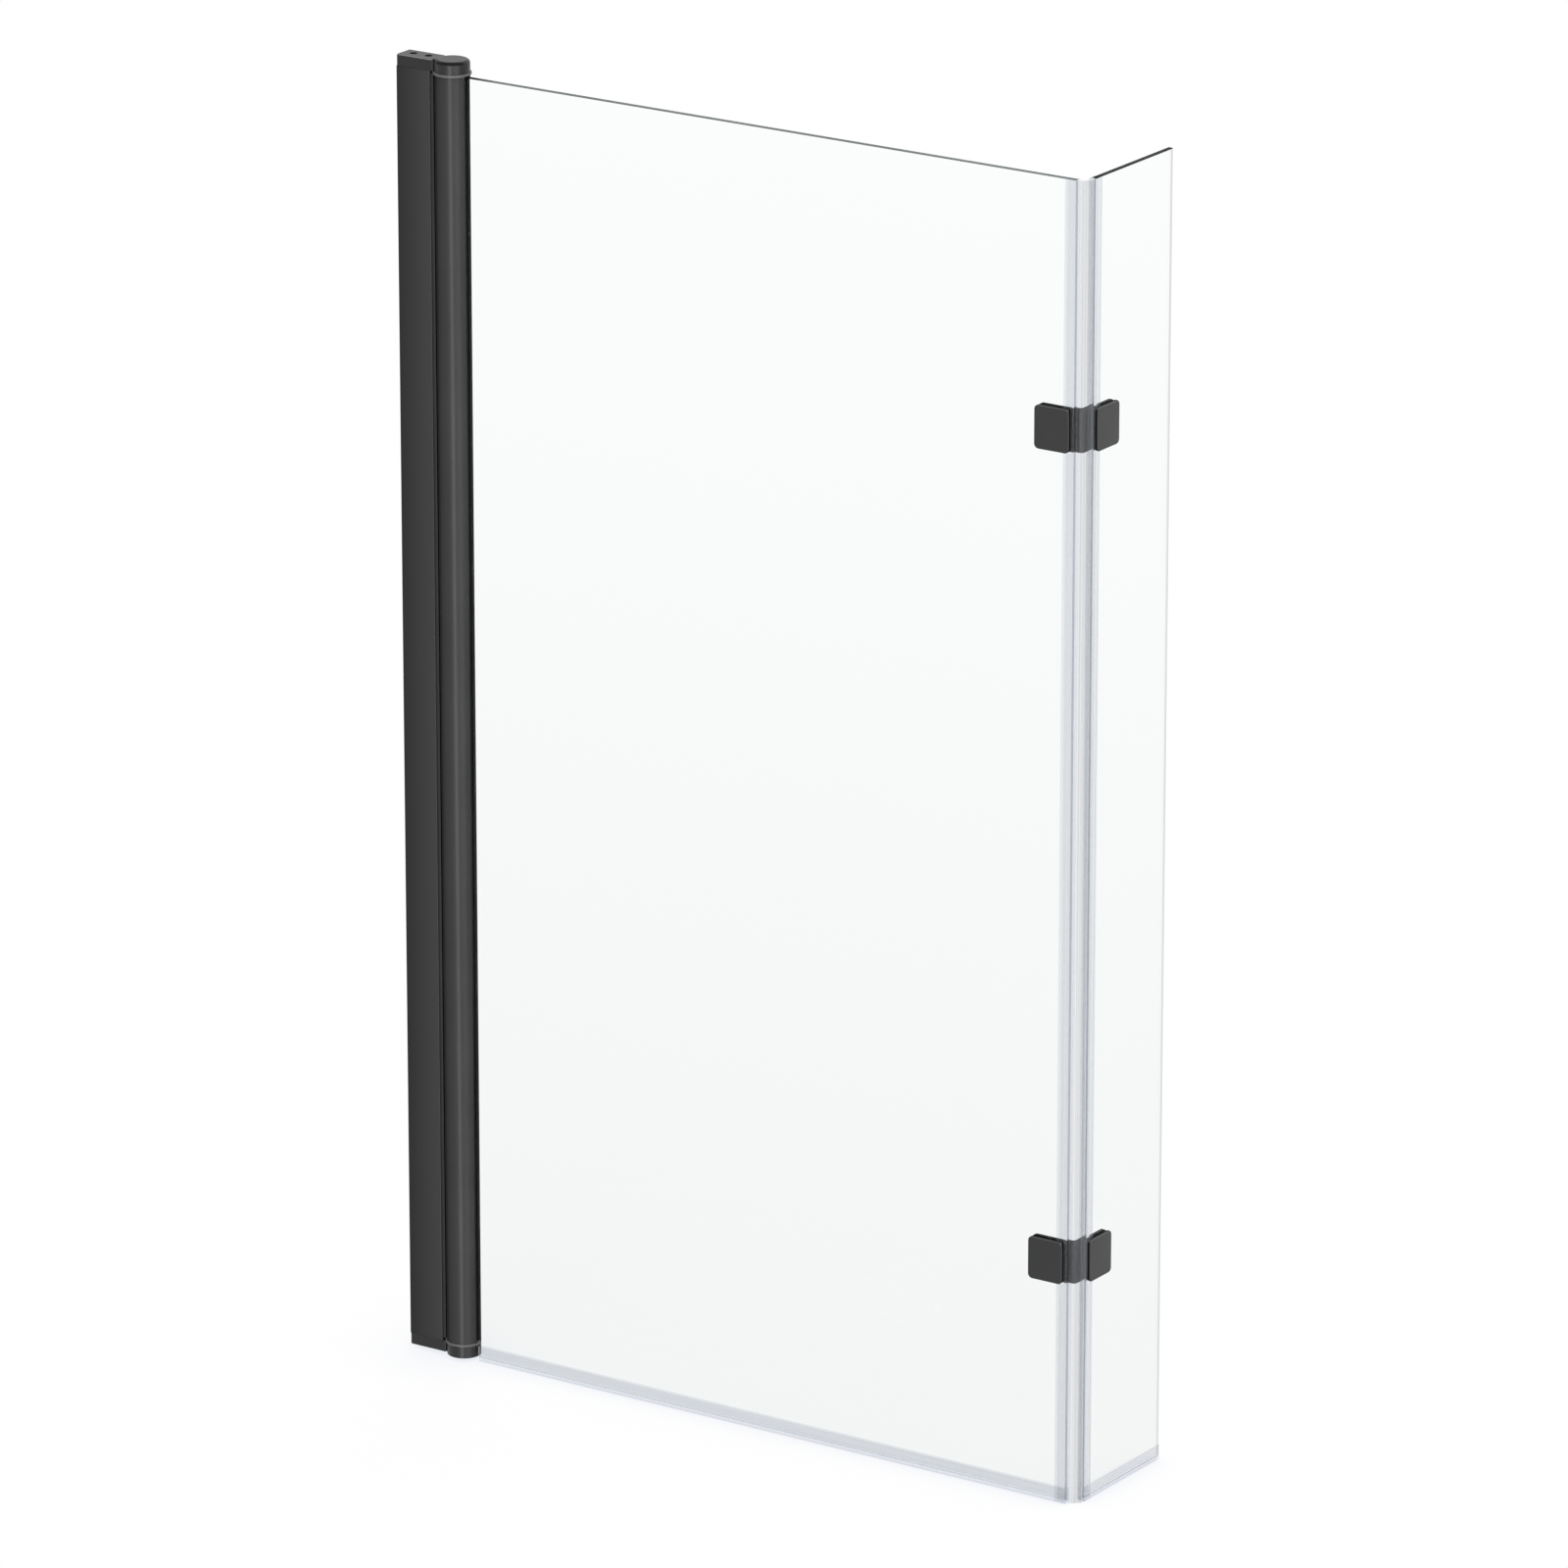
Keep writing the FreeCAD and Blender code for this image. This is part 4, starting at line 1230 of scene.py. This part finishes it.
@dataclass
class Studio:
    """Floor, backdrop light, lamps and camera.

    Attributes:
        camera_at: Place of the camera.
        camera_azimuth: Degrees from -Y towards +X.
        camera_elevation: Degrees above the horizon.
        sensor: Width of the sensor in millimetres.
        lens: Focal length in millimetres.
        sight: How far the camera sees.
        fill: Strength of the sky light on dull surfaces.
        fill_colour: Colour of that light.
        floor_span: Side of the floor.
        floor_colour: Colour of the floor where it is lit.
        floor_bounce: Colour that it throws back on the object.
        floor_shade: Share of the floor's look that comes from the light on it.
        shadow_fade: Distances from the middle of the screen between which that share falls to 0.
        shade_reach: How far from the object the floor lies in its soft shade.
        shade_samples: Number of rays that feel for the object.
        shade_colour: Colour of the floor where no open light falls on it.
        lamps: The soft boxes.
    """

    camera_at: Place = (6.3545, -8.7602, 3.4036)
    camera_azimuth: float = 33.89
    camera_elevation: float = 17.87
    sensor: float = 36.0
    lens: float = 249.37
    sight: float = 200.0
    fill: float = 0.12
    fill_colour: Colour = (0.93, 0.96, 1.0)
    floor_span: float = 120.0
    floor_colour: Colour = (0.9, 0.9, 0.92)
    floor_bounce: Colour = (0.3, 0.3, 0.3)
    floor_shade: float = 0.04
    shadow_fade: Span = (0.44, 0.64)
    shade_reach: float = 100 * MM
    shade_samples: int = 4
    shade_colour: Colour = (0.84, 0.86, 0.93)
    lamps: Sequence[Lamp] = (
        Lamp("front_lamp", 16.0, -8.0, 6.0, 0.5, 6.5, 240.0),
        Lamp("wide_lamp", 60.0, -8.0, 6.0, 3.5, 5.0, 150.0),
        Lamp("side_lamp", 140.0, 0.0, 0.6, 0.3, 2.2, 5.5, 45.0, False, (0.83, 0.035, 0.0)),
        Lamp("upper_lamp", 30.0, 75.0, 4.0, 2.4, 2.4, 165.0, mirrored=False, aim=(SCREEN_MIDDLE, 0.0, 0.3)),
        Lamp("rear_lamp", 215.0, 15.0, 6.0, 3.5, 5.0, 260.0, mirrored=False),
    )

    def build(self) -> None:
        """Builds the whole studio."""
        bpy.context.scene.view_settings.view_transform = "Standard"
        self.build_camera()
        self.build_world()
        self.build_floor()
        for lamp in self.lamps:
            lamp.build()

    def build_camera(self) -> None:
        """Puts the camera where the photograph was taken from."""
        data = bpy.data.cameras.new("photo_camera")
        data.sensor_width = self.sensor
        data.lens = self.lens
        data.clip_end = self.sight
        camera = bpy.data.objects.new("photo_camera", data)
        camera.location = self.camera_at
        camera.rotation_mode = "QUATERNION"
        back = direction(self.camera_azimuth, self.camera_elevation)
        camera.rotation_quaternion = (-back).to_track_quat("-Z", "Y")
        bpy.context.scene.collection.objects.link(camera)
        bpy.context.scene.camera = camera

    @staticmethod
    def seen(nodes: Nodes) -> Socket:
        """1 for rays that see the backdrop, in a mirror or glass too, and 0 for its light on dull surfaces.

        Args:
            nodes: The nodes to add to.

        Returns:
            The value.
        """
        path = nodes.add("ShaderNodeLightPath").outputs
        value = path["Is Camera Ray"]
        for name in ("Is Glossy Ray", "Is Transmission Ray"):
            value = nodes.maths("MAXIMUM", value, path[name])
        return nodes.maths("SUBTRACT", value, path["Diffuse Depth"], use_clamp=True)

    def build_world(self) -> None:
        """A white backdrop that lights dull surfaces only softly."""
        world = bpy.data.worlds.new("studio")
        world.use_nodes = True
        nodes = Nodes(world.node_tree)
        soft = nodes.add("ShaderNodeBackground", {"Color": (*self.fill_colour, 1.0), "Strength": self.fill})
        white = nodes.add("ShaderNodeBackground", {"Color": (*WHITE, 1.0)})
        sky = nodes.mixed(self.seen(nodes), soft.outputs["Background"], white.outputs["Background"])
        nodes.add("ShaderNodeOutputWorld", {"Surface": sky})
        bpy.context.scene.world = world

    def floor_material(self, height: float) -> bpy.types.Material:
        """Makes the floor's material, white to the eye except for the shade and the shadow by the object.

        Args:
            height: Height of the floor.

        Returns:
            The material.
        """
        material = bpy.data.materials.new("floor")
        material.use_nodes = True
        nodes = Nodes(material.node_tree)
        reach = {"Distance": self.shade_reach}
        open_share = nodes.add("ShaderNodeAmbientOcclusion", reach, samples=self.shade_samples)
        colour = nodes.blended(open_share.outputs["AO"], self.shade_colour, WHITE)
        glow = nodes.add("ShaderNodeEmission", {"Color": colour}).outputs["Emission"]
        lit = nodes.add("ShaderNodeBsdfDiffuse", {"Color": (*self.floor_colour, 1.0)}).outputs["BSDF"]
        bounce = nodes.add("ShaderNodeBsdfDiffuse", {"Color": (*self.floor_bounce, 1.0)}).outputs["BSDF"]
        ends = {0: nodes.add("ShaderNodeTexCoord").outputs["Object"], 1: (SCREEN_MIDDLE, 0.0, height)}
        distance = nodes.add("ShaderNodeVectorMath", ends, operation="DISTANCE").outputs["Value"]
        start, end = self.shadow_fade
        fade = nodes.spread(distance, self.floor_shade, 0.0, start, end, interpolation_type="SMOOTHSTEP")
        look = nodes.mixed(self.seen(nodes), bounce, nodes.mixed(fade, glow, lit))
        nodes.add("ShaderNodeOutputMaterial", {"Surface": look})
        return material

    def build_floor(self) -> None:
        """A pale floor under the seals that keeps the shadow."""
        half = self.floor_span / 2
        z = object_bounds()[0].z
        mesh = bpy.data.meshes.new("floor")
        corners = [(-half, -half, z), (half, -half, z), (half, half, z), (-half, half, z)]
        mesh.from_pydata(corners, [], [(0, 1, 2, 3)])
        mesh.materials.append(self.floor_material(z))
        floor = bpy.data.objects.new("floor", mesh)
        bpy.context.scene.collection.objects.link(floor)
        floor.visible_glossy = False
        floor.visible_shadow = False
        floor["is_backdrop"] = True


def main() -> None:
    """Builds the studio and dresses the screen."""
    logging.basicConfig(level=logging.INFO, format="%(name)s: %(message)s")
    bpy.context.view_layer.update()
    Studio().build()
    WallPost().build()
    HingedScreen().build()
    for name in ("upper", "lower"):
        GlassBracket(name).build()


if __name__ == "__main__":
    main()
